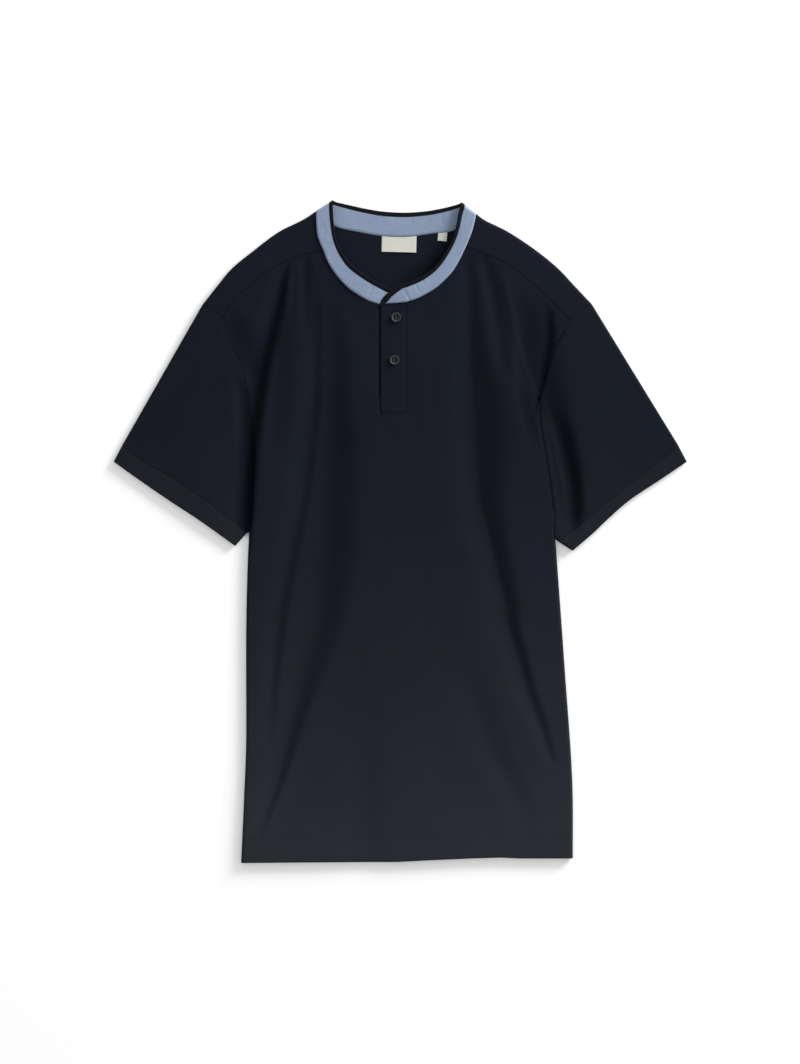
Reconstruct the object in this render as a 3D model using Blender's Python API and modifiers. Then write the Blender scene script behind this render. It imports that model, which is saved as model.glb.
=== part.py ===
"""A short-sleeved polo shirt with a standing band collar, laid flat and face up.

The shirt lies on the plane Z = 0 with its neck towards +Y. Lengths are in
millimetres in the tables below and in metres in the meshes. Left and right are
those of somebody who looks down at the shirt.

Each cloth wall is lofted between two faces that the same function works out,
the outer one at depth 0 and the inner one at the depth of the wall, so that the
cut edges stand upright and neighbouring pieces keep their seam gap.
"""
import math
from collections import namedtuple

import bpy
from mathutils import Vector

MM = 0.001

# Cloth, in millimetres.
WALL = 1.5
SEAM_GAP = 0.3
FRONT_TOP = 6.8
CUFF_TOP = 5.4
LOWEST_TOP = 3.8
SLEEVE_FALL_FROM = 200.0
SLEEVE_FALL_TO = 290.0

# The sides of the body are turned under by this much, less near the armhole.
TURNED_UNDER = 25.0
TURN_TAPER = 100.0

# Collar band, placket, buttons and labels.
BAND_RISE = 2.5
BAND_LIFT_BEHIND = 0.6
BAND_CROWN = 0.4
TIPPING_WIDTH = 5.0
PLACKET_LEFT = -21.7
PLACKET_RIGHT = 7.1
PLACKET_BOTTOM = 135.0
PLACKET_TOP_Z = 7.4
UNDER_PLACKET_TOP_Z = 5.6
BUTTON_RADIUS = 5.5
BUTTON_HEIGHT = 2.3
BUTTON_HOLE_RADIUS = 0.75
BUTTON_HOLE_OFFSET = 1.35
NECK_LABEL = (39.5, 16.8, 1.0)
SIZE_LABEL = (11.0, 7.2, 1.0)

# Cells of the cloth grids.
SHOULDER_CELLS = 12
NECK_CELLS = 8
PLACKET_CELLS = 3
BODY_ROWS = 20
ARMHOLE_ROWS = 9
CAP_ROWS = 3
BACK_NECK_CELLS = 14
ROLL_STEPS = 4
SLEEVE_STATIONS = 8
CUFF_STATIONS = 2
PLACKET_ROWS = 9
CURL_SHARES = (0.06, 0.12, 0.18, 0.24, 0.30, 0.65, 1.0)
CURVE_STEPS = 24

Side = namedtuple("Side", "name inward shoulder cap armhole body_edge underarm"
                          " cuff_seam cuff_edge forward_seam neck_seam shoulder_neck"
                          " band_edge band_tip")
Fold = namedtuple("Fold", "y x half_width depth")
Station = namedtuple("Station", "seam_x seam_y seam_z edge_x edge_y edge_z")

# Outlines as the shirt lies. Columns of every curve: x, y.
LEFT = Side(
    name="left",
    inward=1,
    # From the sleeve head up to the neck, along the folded edge.
    shoulder=((-225.7, 258.2), (-208.6, 279.9), (-191.5, 300.4), (-166.4, 320.9),
              (-139.1, 341.4), (-111.7, 355.1), (-95.8, 365.4)),
    # From the folded edge to the forward seam, then down to the body edge.
    cap=((-225.7, 258.2), (-212.0, 254.3), (-202.9, 243.4)),
    armhole=((-202.9, 243.4), (-194.9, 218.0), (-180.1, 187.5), (-172.1, 149.9),
             (-167.6, 118.0), (-166.4, 104.3)),
    body_edge=((-166.4, 104.3), (-168.7, 39.3), (-172.1, -1.7), (-174.4, -55.3),
               (-175.6, -123.7), (-175.6, -237.7), (-177.8, -300.0), (-181.3, -378.0)),
    underarm=-0.5,
    cuff_seam=((-317.0, 98.4), (-301.0, 85.0), (-259.1, 60.0), (-223.4, 36.0),
               (-192.7, 12.5), (-175.6, -2.6)),
    cuff_edge=((-326.8, 79.7), (-298.7, 59.5), (-264.5, 36.0), (-228.0, 12.0),
               (-188.1, -16.5)),
    forward_seam=((-202.9, 243.4), (-191.5, 261.6), (-165.9, 285.6), (-140.2, 302.7),
                  (-114.0, 314.1), (-87.8, 320.9)),
    neck_seam=((-87.8, 320.9), (-82.1, 307.2), (-73.0, 293.6), (-60.4, 279.9),
               (-50.2, 273.0), (-35.3, 263.9), (-21.7, 258.2)),
    shoulder_neck=((-95.8, 365.4), (-95.8, 355.1), (-94.8, 341.0), (-92.3, 331.2),
                   (-87.8, 320.9)),
    # The free edge of the collar, from the fold at the shoulder to the placket.
    band_edge=((-76.3, 373.6), (-75.8, 362.0), (-73.6, 342.0), (-70.5, 329.7),
               (-64.0, 316.7), (-54.7, 304.2), (-37.1, 290.9), (-26.2, 284.4),
               (-13.5, 277.6)),
    band_tip=(-76.4, 377.9),
)
RIGHT = Side(
    name="right",
    inward=-1,
    shoulder=((218.9, 259.4), (199.5, 279.9), (180.1, 300.4), (155.0, 320.9),
              (124.3, 341.4), (96.9, 355.1), (87.2, 362.4)),
    cap=((218.9, 259.4), (206.3, 253.0), (192.6, 241.5)),
    armhole=((192.6, 241.5), (186.5, 225.0), (173.3, 201.2), (158.8, 152.2)),
    body_edge=((158.8, 152.2), (160.3, 123.7), (166.1, 88.8), (173.3, 39.7),
               (177.3, -9.7), (182.4, -78.1), (188.1, -169.3), (191.5, -214.9),
               (194.9, -260.5), (197.2, -306.1), (197.2, -372.8)),
    underarm=-9.0,
    cuff_seam=((317.7, 98.2), (298.7, 80.5), (262.4, 53.5), (228.0, 25.5),
               (200.0, 2.5), (181.6, -12.4)),
    cuff_edge=((327.4, 79.7), (296.4, 58.7), (262.2, 35.9), (236.0, 13.1),
               (221.0, -1.3), (196.8, -22.0)),
    forward_seam=((192.6, 241.5), (173.3, 261.6), (147.1, 285.6), (124.3, 303.8),
                  (95.3, 316.9), (75.2, 324.3)),
    neck_seam=((75.2, 324.3), (66.1, 307.2), (57.0, 293.6), (42.2, 279.9),
               (31.9, 273.0), (19.4, 266.2), (7.1, 261.2)),
    shoulder_neck=((87.2, 362.4), (85.2, 353.0), (82.1, 341.4), (78.7, 332.6),
                   (75.2, 324.3)),
    band_edge=((68.9, 371.2), (66.1, 362.0), (63.3, 348.3), (60.0, 337.0),
               (54.5, 325.5), (47.0, 314.0), (38.6, 305.0), (30.8, 298.3),
               (21.1, 292.0), (8.0, 284.3)),
    band_tip=(70.1, 375.4),
)

# The hem of the front, from left to right.
HEM = ((-181.3, -378.0), (-114.0, -377.4), (-2.0, -376.8), (31.0, -375.0),
       (81.0, -372.8), (114.0, -371.8), (137.0, -372.8), (197.2, -372.8))
BACK_HEM_Y = -369.0

# The back of the neck, from left to right: the seam and the free edge above it.
BACK_NECK_SEAM = ((-95.8, 362.0), (-74.8, 348.3), (-47.9, 342.0), (-19.8, 337.3),
                  (8.0, 336.5), (39.6, 340.5), (62.2, 344.0), (86.5, 359.0))
BACK_NECK_EDGE = ((-76.3, 373.6), (-64.0, 375.6), (-44.5, 371.1), (-22.8, 367.1),
                  (0.0, 364.8), (22.8, 366.7), (45.6, 370.5), (58.0, 373.0),
                  (68.9, 371.2))

# Where the columns of the front and back cross the hem and the middle line,
# between the two edges of the body.
HEM_ANCHORS = (-95.0, PLACKET_LEFT, PLACKET_RIGHT, 86.0)
MIDDLE_ANCHORS = (-90.0, PLACKET_LEFT, PLACKET_RIGHT, 79.0)

# The collar's right end lies over the placket, and its left end under it.
RIGHT_END = (
    Station(-21.4, 259.0, 7.5, -20.6, 265.4, 8.2),
    Station(-12.1, 259.5, 7.6, -14.5, 272.6, 9.1),
    Station(-2.5, 260.4, 7.6, -5.6, 278.4, 9.5),
)
LEFT_END = Station(-12.0, 260.0, 5.2, -4.5, 275.5, 7.0)
LEFT_END_DROP = 1.6
END_BLEND = 26.0

# Folds of the top layer. A positive depth is a trough and a negative one a ridge.
FOLDS = {
    "left_long": (
        Fold(270, -74, 9, 0.0), Fold(205, -70, 13, 1.4), Fold(143, -66, 16, 2.4),
        Fold(63, -65, 18, 2.9), Fold(0, -71, 18, 3.0), Fold(-90, -80, 16, 3.0),
        Fold(-143, -96, 13, 3.0), Fold(-196, -111, 11, 2.9), Fold(-239, -122, 10, 2.7),
        Fold(-279, -133, 9, 2.4), Fold(-316, -147, 8, 1.8), Fold(-350, -161, 7, 0.0)),
    "left_second": (
        Fold(300, -97, 6, 0.0), Fold(240, -94, 7, 1.0), Fold(175, -93, 8, 1.5),
        Fold(111, -97, 9, 1.8), Fold(47, -106, 9, 1.8), Fold(-1, -114, 9, 1.8),
        Fold(-79, -128, 9, 1.6), Fold(-126, -136, 9, 1.5), Fold(-181, -144, 8, 1.1),
        Fold(-250, -149, 8, 0.0)),
    "left_armhole": (
        Fold(305, -126, 6, 0.0), Fold(267, -133, 7, 1.9), Fold(223, -142, 8, 2.9),
        Fold(175, -153, 8, 2.6), Fold(127, -158, 7, 1.2), Fold(95, -160, 7, 0.0)),
    "left_gather": (
        Fold(308, -109, 5, 0.0), Fold(275, -108, 6, 0.9), Fold(225, -110, 6, 0.9),
        Fold(180, -116, 6, 0.0)),
    "right_long": (
        Fold(305, 82, 12, 0.0), Fold(255, 86, 15, 1.3), Fold(191, 93, 17, 2.4),
        Fold(95, 103, 17, 2.8), Fold(28, 107, 16, 2.8), Fold(-17, 117, 14, 2.6),
        Fold(-67, 128, 12, 2.6), Fold(-115, 137, 11, 2.5), Fold(-166, 146, 10, 2.3),
        Fold(-204, 157, 9, 2.0), Fold(-230, 164, 8, 1.4), Fold(-275, 174, 8, 0.0)),
    "right_armhole_ridge": (
        Fold(300, 124, 8, 0.0), Fold(264, 131, 8, -1.3), Fold(218, 141, 8, -1.6),
        Fold(180, 149, 7, -1.0), Fold(160, 153, 7, 0.0)),
    "right_armhole_trough": (
        Fold(305, 103, 8, 0.0), Fold(262, 111, 9, 1.2), Fold(223, 123, 9, 1.5),
        Fold(182, 134, 8, 1.1), Fold(150, 143, 8, 0.0)),
    "right_low": (
        Fold(-140, 93, 13, 0.0), Fold(-180, 99, 14, 1.4), Fold(-224, 109, 14, 1.8),
        Fold(-267, 121, 13, 1.6), Fold(-311, 136, 12, 1.0), Fold(-350, 146, 11, 0.0)),
    "right_sleeve": (
        Fold(185, 176, 8, 0.0), Fold(144, 184, 9, 1.4), Fold(110, 193, 9, 1.9),
        Fold(80, 199, 9, 1.9), Fold(45, 202, 9, 1.2), Fold(15, 204, 9, 0.0)),
    "left_sleeve": (
        Fold(150, -190, 9, 0.0), Fold(110, -193, 10, 1.2), Fold(70, -198, 10, 1.4),
        Fold(30, -203, 10, 0.0)),
}

# Finishes: colour, roughness.
Finish = namedtuple("Finish", "name colour roughness")
NAVY = Finish("navy_jersey", (0.013, 0.017, 0.030, 1.0), 0.85)
NAVY_TRIM = Finish("navy_tipping", (0.015, 0.018, 0.028, 1.0), 0.80)
CHAMBRAY = Finish("chambray", (0.240, 0.310, 0.440, 1.0), 0.80)
BUTTON = Finish("button", (0.055, 0.060, 0.070, 1.0), 0.40)
LABEL = Finish("label", (0.720, 0.720, 0.660, 1.0), 0.60)


# ---------------------------------------------------------------- plan curves

def plan(points):
    """Turn rows of x, y into plan vectors."""
    return [Vector(point) for point in points]


def smooth_curve(points, cells):
    """Points at equal steps along the smooth curve through the given ones."""
    knots = plan(points)
    knots = [2 * knots[0] - knots[1]] + knots + [2 * knots[-1] - knots[-2]]
    fine = []
    for before, start, end, after in zip(knots, knots[1:], knots[2:], knots[3:]):
        leave, arrive = (end - before) / 2, (after - start) / 2
        for step in range(CURVE_STEPS):
            t = step / CURVE_STEPS
            fine.append((2 * t**3 - 3 * t**2 + 1) * start + (t**3 - 2 * t**2 + t) * leave
                        + (3 * t**2 - 2 * t**3) * end + (t**3 - t**2) * arrive)
    fine.append(knots[-2])
    return even_steps(fine, cells)


def even_steps(points, cells):
    """Points at equal steps along a run of straight pieces."""
    reach = [0.0]
    for start, end in zip(points, points[1:]):
        reach.append(reach[-1] + (end - start).length)
    steps, piece = [], 0
    for cell in range(cells + 1):
        target = reach[-1] * cell / cells
        while piece < len(points) - 2 and reach[piece + 1] < target:
            piece += 1
        share = (target - reach[piece]) / (reach[piece + 1] - reach[piece])
        steps.append(points[piece].lerp(points[piece + 1], min(share, 1.0)))
    return steps


def height_on(points, x):
    """The y of a left-to-right outline at x."""
    for start, end in zip(points, points[1:]):
        if x <= end[0]:
            break
    return start[1] + (end[1] - start[1]) * (x - start[0]) / (end[0] - start[0])


def between(anchors, cells):
    """Split each stretch between neighbouring anchors into its own cells."""
    points = []
    for start, end, count in zip(anchors, anchors[1:], cells):
        points += [start.lerp(end, step / count) for step in range(count)]
    return points + [anchors[-1]]


def moved_towards(points, targets, distance):
    """Each point moved straight towards its target."""
    return [point + (target - point).normalized() * distance
            for point, target in zip(points, targets)]


def patch(bottom, top, left, right, side_cells):
    """Rows of plan points between four edges; the side edges bend only the
    columns within side_cells of them."""
    rows = []
    last = len(bottom) - 1
    for index, (left_point, right_point) in enumerate(zip(left, right)):
        v = index / (len(left) - 1)
        left_bend = left_point - bottom[0].lerp(top[0], v)
        right_bend = right_point - bottom[-1].lerp(top[-1], v)
        row = []
        for column, (low, high) in enumerate(zip(bottom, top)):
            from_left = max(0.0, 1 - column / side_cells)
            from_right = max(0.0, 1 - (last - column) / side_cells)
            row.append(low.lerp(high, v) + left_bend * from_left
                       + right_bend * from_right)
        rows.append(row)
    return rows


# ------------------------------------------------------------------ the lie

def fold_depth(rows, x, y):
    """How far one fold lowers the cloth at x, y."""
    if not rows[-1].y < y < rows[0].y:
        return 0.0
    for upper, lower in zip(rows, rows[1:]):
        if y >= lower.y:
            break
    share = (upper.y - y) / (upper.y - lower.y)
    centre, half_width, depth = (
        getattr(upper, field) * (1 - share) + getattr(lower, field) * share
        for field in ("x", "half_width", "depth"))
    return depth * math.exp(-2 * ((x - centre) / half_width) ** 2)


def lie_height(point):
    """Height of the outer face of the top layer over the floor."""
    fall = (abs(point.x) - SLEEVE_FALL_FROM) / (SLEEVE_FALL_TO - SLEEVE_FALL_FROM)
    base = FRONT_TOP + (CUFF_TOP - FRONT_TOP) * min(max(fall, 0.0), 1.0)
    folds = sum(fold_depth(rows, point.x, point.y) for rows in FOLDS.values())
    return max(LOWEST_TOP, base - folds)


def top_points(row, depth):
    """A row of the top layer, the given depth under its outer face."""
    return [Vector((p.x, p.y, lie_height(p) - depth)) for p in row]


def floor_points(row, depth):
    """A row of the layer on the floor, whose outer face is its underside."""
    return [Vector((p.x, p.y, depth)) for p in row]


def roll(edge, start, low, high, depth):
    """Points round a folded edge, from the top layer down to the bottom one."""
    radius = (high - low) / 2
    reach = (start - edge).length
    inward = (start - edge).normalized()
    points = []
    for step in range(ROLL_STEPS + 1):
        angle = math.pi * step / ROLL_STEPS
        place = edge + inward * (reach - (reach - depth) * math.sin(angle))
        points.append(Vector((place.x, place.y,
                              low + radius + (radius - depth) * math.cos(angle))))
    return points


# --------------------------------------------------------------- shared seams

def start_inside(points, distance):
    """A curve whose first point is moved along it, clear of a folded edge."""
    first, second = Vector(points[0]), Vector(points[1])
    return [first + (second - first).normalized() * distance] + plan(points[1:])


def cap_seam(side):
    """Armhole seam from the shoulder's folded edge to the forward seam."""
    return smooth_curve(start_inside(side.cap, FRONT_TOP / 2), CAP_ROWS)


def armhole_seam(side):
    """Armhole seam from the forward seam down to the edge of the body."""
    return smooth_curve(side.armhole, ARMHOLE_ROWS)


def body_edge(side):
    """Folded edge of the body, from the armhole seam down to the hem."""
    return smooth_curve(side.body_edge, BODY_ROWS)


def forward_seam(side):
    """Forward shoulder seam, from the armhole to the neck."""
    return smooth_curve(side.forward_seam, SHOULDER_CELLS)


def neck_seam(side):
    """Neckline of the front, from the shoulder seam to the placket."""
    return smooth_curve(side.neck_seam, NECK_CELLS)


def shoulder_neck(side):
    """Neckline across the shoulder, from its folded edge to the forward seam."""
    return smooth_curve(start_inside(side.shoulder_neck, FRONT_TOP / 2), CAP_ROWS)


def shoulder_fold(side):
    """Folded edge of the shoulder, and where the flat cloth beside it starts."""
    edge = smooth_curve(side.shoulder, SHOULDER_CELLS)
    first = cap_seam(side)[0] - edge[0]
    last = shoulder_neck(side)[0] - edge[-1]
    flat = []
    for index, point in enumerate(edge):
        inward = first.lerp(last, index / SHOULDER_CELLS).normalized()
        flat.append(point + inward * FRONT_TOP / 2)
    return edge, flat


def turned_length(side, edge_point):
    """How much cloth curls round the body's edge at this height."""
    full = math.pi * FRONT_TOP / 2 + TURNED_UNDER
    return full * min(1.0, (side.body_edge[0][1] - edge_point.y) / TURN_TAPER)


def curl(side, edge_point, depth):
    """Points from the top of the body's edge, round it and under the body."""
    radius = lie_height(edge_point) / 2
    length = turned_length(side, edge_point)
    top_of_roll = radius * math.sin(min(length / radius, math.pi / 2))
    points = []
    for share in (0.0,) + CURL_SHARES:
        run = length * share
        angle = min(run / radius, math.pi)
        inset = top_of_roll - (radius - depth) * math.sin(angle)
        inset += max(0.0, run - math.pi * radius)
        points.append(Vector((edge_point.x + side.inward * inset, edge_point.y,
                              radius + (radius - depth) * math.cos(angle))))
    return points


def curl_reach(side, edge_point):
    """How far in from the body's edge its curl covers the floor."""
    radius = lie_height(edge_point) / 2
    return radius + max(0.0, turned_length(side, edge_point) - math.pi * radius)


def middle_line(half_cells):
    """The line across the body through both underarm corners and the placket."""
    low_left, low_right = Vector(LEFT.body_edge[0]), Vector(RIGHT.body_edge[0])
    corners = ((low_left.x, low_left.y), (PLACKET_LEFT, PLACKET_BOTTOM),
               (PLACKET_RIGHT, PLACKET_BOTTOM), (low_right.x, low_right.y))
    anchors = [low_left] + [Vector((x, height_on(corners, x)))
                            for x in MIDDLE_ANCHORS] + [low_right]
    return between(anchors, half_cells)


# -------------------------------------------------------------------- pieces

def front_grids(depth):
    """The front panel: the body, the two sides of the neck and the curled edges."""
    cells = (SHOULDER_CELLS, NECK_CELLS, PLACKET_CELLS, NECK_CELLS, SHOULDER_CELLS)
    left_edge, right_edge = body_edge(LEFT)[::-1], body_edge(RIGHT)[::-1]
    left_curls = [curl(LEFT, point, depth) for point in left_edge]
    right_curls = [curl(RIGHT, point, depth) for point in right_edge]
    left_side = [points[0].xy for points in left_curls]
    right_side = [points[0].xy for points in right_curls]
    hem = [left_side[0]] + [Vector((x, height_on(HEM, x))) for x in HEM_ANCHORS]
    hem = between(hem + [right_side[0]], cells)
    hem = [Vector((p.x, height_on(HEM, p.x))) for p in hem]
    middle = middle_line(cells)
    placket_top = between([neck_seam(LEFT)[-1], neck_seam(RIGHT)[-1]],
                          (PLACKET_CELLS,))
    top = (forward_seam(LEFT) + neck_seam(LEFT)[1:] + placket_top[1:-1]
           + neck_seam(RIGHT)[::-1][:-1] + forward_seam(RIGHT)[::-1])
    lower = patch(hem, middle, left_side, right_side, SHOULDER_CELLS)
    upper = patch(middle, top, armhole_seam(LEFT)[::-1], armhole_seam(RIGHT)[::-1],
                  SHOULDER_CELLS)
    notch_left = SHOULDER_CELLS + NECK_CELLS
    notch_right = notch_left + PLACKET_CELLS
    lower_grid = [top_points(row, depth) for row in lower]
    for row, left_curl, right_curl in zip(lower_grid, left_curls, right_curls):
        row[0], row[-1] = left_curl[0], right_curl[0]
    upper_grid = [top_points(row, depth) for row in upper]
    upper_grid[0] = lower_grid[-1]
    return [lower_grid,
            [row[:notch_left + 1] for row in upper_grid],
            [row[notch_right:] for row in upper_grid],
            [points[::-1] for points in left_curls],
            right_curls]


def back_side(side):
    """Side edge of the back, hem to underarm, along the front's turned edge."""
    points = []
    for point in body_edge(side)[::-1]:
        inset = curl_reach(side, point) + SEAM_GAP
        points.append(Vector((point.x + side.inward * inset, point.y)))
    share = (BACK_HEM_Y - points[0].y) / (points[1].y - points[0].y)
    points[0] = points[0].lerp(points[1], share)
    return points


def back_grids(depth):
    """The back panel: its floor layer, and the shoulders that come forward."""
    cells = (SHOULDER_CELLS, BACK_NECK_CELLS, SHOULDER_CELLS)
    left_side, right_side = back_side(LEFT), back_side(RIGHT)
    hem = between([left_side[0], Vector((HEM_ANCHORS[0], BACK_HEM_Y)),
                   Vector((HEM_ANCHORS[-1], BACK_HEM_Y)), right_side[0]], cells)
    middle = between([left_side[-1], Vector((MIDDLE_ANCHORS[0], PLACKET_BOTTOM)),
                      Vector((MIDDLE_ANCHORS[-1], PLACKET_BOTTOM)), right_side[-1]],
                     cells)
    left_fold, left_flat = shoulder_fold(LEFT)
    right_fold, right_flat = shoulder_fold(RIGHT)
    neck = smooth_curve(BACK_NECK_SEAM, BACK_NECK_CELLS)
    neck[0], neck[-1] = left_flat[-1], right_flat[-1]
    top = left_flat + neck[1:-1] + right_flat[::-1]
    left_arm = ([left_side[-1]] + armhole_seam(LEFT)[::-1][1:]
                + cap_seam(LEFT)[::-1][1:])
    right_arm = ([right_side[-1]] + armhole_seam(RIGHT)[::-1][1:]
                 + cap_seam(RIGHT)[::-1][1:])
    lower = patch(hem, middle, left_side, right_side, SHOULDER_CELLS)
    upper = patch(middle, top, left_arm, right_arm, SHOULDER_CELLS)
    grids = [[floor_points(row, depth) for row in lower + upper[1:]]]
    for side, fold, flat in ((LEFT, left_fold, left_flat),
                             (RIGHT, right_fold, right_flat)):
        seam = moved_towards(forward_seam(side), flat, SEAM_GAP)
        cap, neck_edge = cap_seam(side), shoulder_neck(side)
        cap[-1], neck_edge[-1] = seam[0], seam[-1]
        over = patch(flat, seam, cap, neck_edge, SHOULDER_CELLS)
        rolls = [roll(edge, start, 0.0, lie_height(start), depth)[::-1]
                 for edge, start in zip(fold, flat)]
        wrap = [list(row) for row in zip(*rolls)]
        wrap += [top_points(row, depth) for row in over[1:]]
        grids.append([row if side is LEFT else row[::-1] for row in wrap])
    return grids


def flat_tube(inner, outer, stations, depth):
    """A tube pressed flat: each section runs over the top layer from one folded
    edge to the other and back along the floor."""
    grid = []
    for station in range(stations + 1):
        share = station / stations
        line = [a.lerp(b, share) for a, b in zip(inner, outer)]
        first = roll(line[0], line[1], 0.0, lie_height(line[1]), depth)
        last = roll(line[-1], line[-2], 0.0, lie_height(line[-2]), depth)
        section = top_points(line[1:-1], depth) + last[1:]
        section += floor_points(line[2:-2][::-1], depth) + first[::-1]
        grid.append(section)
    return grid


def fold_ended(points, height):
    """Plan points of a tube's end: the folded edges, then the flat cloth."""
    reach = height / 2
    first = points[0] + (points[1] - points[0]).normalized() * reach
    last = points[-1] + (points[-2] - points[-1]).normalized() * reach
    return [points[0], first] + points[1:-1] + [last, points[-1]]


def sleeve_ends(side):
    """The sleeve's armhole end and its cuff end, with as many points each."""
    edge = body_edge(side)
    above = [point for point in edge if point.y > side.underarm + FRONT_TOP]
    below = edge[len(above)]
    share = (above[-1].y - side.underarm) / (above[-1].y - below.y)
    underarm = above[-1].lerp(below, share)
    inner = ([Vector(side.cap[0])] + cap_seam(side) + armhole_seam(side)[1:]
             + above[1:])
    inner += [underarm + (above[-1] - underarm).normalized() * FRONT_TOP / 2, underarm]
    cuff = fold_ended(smooth_curve(side.cuff_seam, len(inner) - 3), CUFF_TOP)
    return moved_towards(inner, cuff, SEAM_GAP + 0.05), cuff


def sleeve_grids(side, depth):
    """The sleeve, from the armhole and the body's edge to the cuff seam."""
    inner, outer = sleeve_ends(side)
    return [flat_tube(inner, outer, SLEEVE_STATIONS, depth)]


def cuff_grids(side, depth):
    """The cuff band beyond the sleeve."""
    seam = sleeve_ends(side)[1]
    edge = fold_ended(smooth_curve(side.cuff_edge, len(seam) - 3), CUFF_TOP)
    return [flat_tube(moved_towards(seam, edge, SEAM_GAP), edge, CUFF_STATIONS, depth)]


def band_sections(depth):
    """Seam point and free-edge point of each section of the collar, from its
    right end round the back of the neck to its left end."""
    sections = []

    def add_front(seams, edges, drops):
        for seam, edge, drop in zip(seams, edges, drops):
            low = lie_height(seam) - drop - depth
            high = FRONT_TOP + BAND_RISE - drop - depth
            sections.append((Vector((*seam, low)), Vector((*edge, high))))

    for end in RIGHT_END:
        sections.append((Vector((end.seam_x, end.seam_y, end.seam_z - depth)),
                         Vector((end.edge_x, end.edge_y, end.edge_z - depth))))
    front_cells = NECK_CELLS + CAP_ROWS
    seams = neck_seam(RIGHT)[::-1] + shoulder_neck(RIGHT)[::-1][1:]
    edges = smooth_curve(RIGHT.band_edge, front_cells)[::-1]
    rises = [-0.7 * max(0.0, 1 - (p.x - PLACKET_RIGHT) / END_BLEND) for p in seams]
    add_front(seams[:-1], edges[:-1], rises)
    sections += band_fold(RIGHT, depth)
    behind = zip(smooth_curve(BACK_NECK_SEAM, BACK_NECK_CELLS)[::-1],
                 smooth_curve(BACK_NECK_EDGE, BACK_NECK_CELLS)[::-1])
    for seam, edge in list(behind)[1:-1]:
        sections.append((Vector((*seam, depth)),
                         Vector((*edge, BAND_LIFT_BEHIND + depth))))
    sections += band_fold(LEFT, depth)[::-1]
    seams = shoulder_neck(LEFT) + neck_seam(LEFT)[1:]
    edges = smooth_curve(LEFT.band_edge, front_cells)
    drops = [LEFT_END_DROP * max(0.0, 1 - (PLACKET_LEFT - p.x) / END_BLEND)
             for p in seams]
    add_front(seams[1:], edges[1:], drops[1:])
    sections.append((Vector((*LEFT_END[0:2], LEFT_END.seam_z - depth)),
                     Vector((*LEFT_END[3:5], LEFT_END.edge_z - depth))))
    return sections


def band_fold(side, depth):
    """Sections round the collar's fold at the shoulder, front to back."""
    seam_edge, edge_tip = Vector(side.shoulder[-1]), Vector(side.band_tip)
    seam_start = shoulder_neck(side)[0]
    edge_start = Vector(side.band_edge[0])
    seams = roll(seam_edge, seam_start, 0.0, FRONT_TOP, depth)
    edges = roll(edge_tip, edge_start, BAND_LIFT_BEHIND, FRONT_TOP + BAND_RISE, depth)
    return list(zip(seams, edges))


def band_row(sections, distance_of):
    """One line along the collar, at a distance from its seam in each section."""
    row = []
    for seam, edge in sections:
        width = (edge - seam).length
        share = distance_of(width) / width
        point = seam.lerp(edge, share)
        point.z += BAND_CROWN * math.sin(math.pi * share)
        row.append(point)
    return row


def collar_grids(depth):
    """The light band of the collar, from the neckline to the tipping."""
    sections = band_sections(depth)
    return [[band_row(sections, lambda width: SEAM_GAP),
             band_row(sections, lambda width: (width - TIPPING_WIDTH) / 2),
             band_row(sections, lambda width: width - TIPPING_WIDTH - SEAM_GAP / 2)]]


def tipping_grids(depth):
    """The dark strip along the collar's free edge."""
    sections = band_sections(depth)
    return [[band_row(sections, lambda width: width - TIPPING_WIDTH + SEAM_GAP / 2),
             band_row(sections, lambda width: width)]]


def placket_grids(top_z, depth):
    """One strip of the placket, filling the notch of the front."""
    top = between([neck_seam(LEFT)[-1], neck_seam(RIGHT)[-1]], (PLACKET_CELLS,))
    rows = []
    for row in range(PLACKET_ROWS + 1):
        share = row / PLACKET_ROWS
        points = []
        for column, corner in enumerate(top):
            across = column / PLACKET_CELLS
            x = PLACKET_LEFT + SEAM_GAP
            x += (PLACKET_RIGHT - PLACKET_LEFT - 2 * SEAM_GAP) * across
            low, high = PLACKET_BOTTOM + SEAM_GAP, corner.y - SEAM_GAP / 2
            points.append(Vector((x, low + (high - low) * share, top_z - depth)))
        rows.append(points)
    return [rows]


# -------------------------------------------------------------------- meshes

def material_for(finish, name):
    """A plain material of the piece's own."""
    material = bpy.data.materials.new(name + "_" + finish.name)
    material.use_nodes = True
    shader = material.node_tree.nodes["Principled BSDF"]
    shader.inputs["Base Color"].default_value = finish.colour
    shader.inputs["Roughness"].default_value = finish.roughness
    shader.inputs["Metallic"].default_value = 0.0
    material.diffuse_color = finish.colour
    return material


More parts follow.
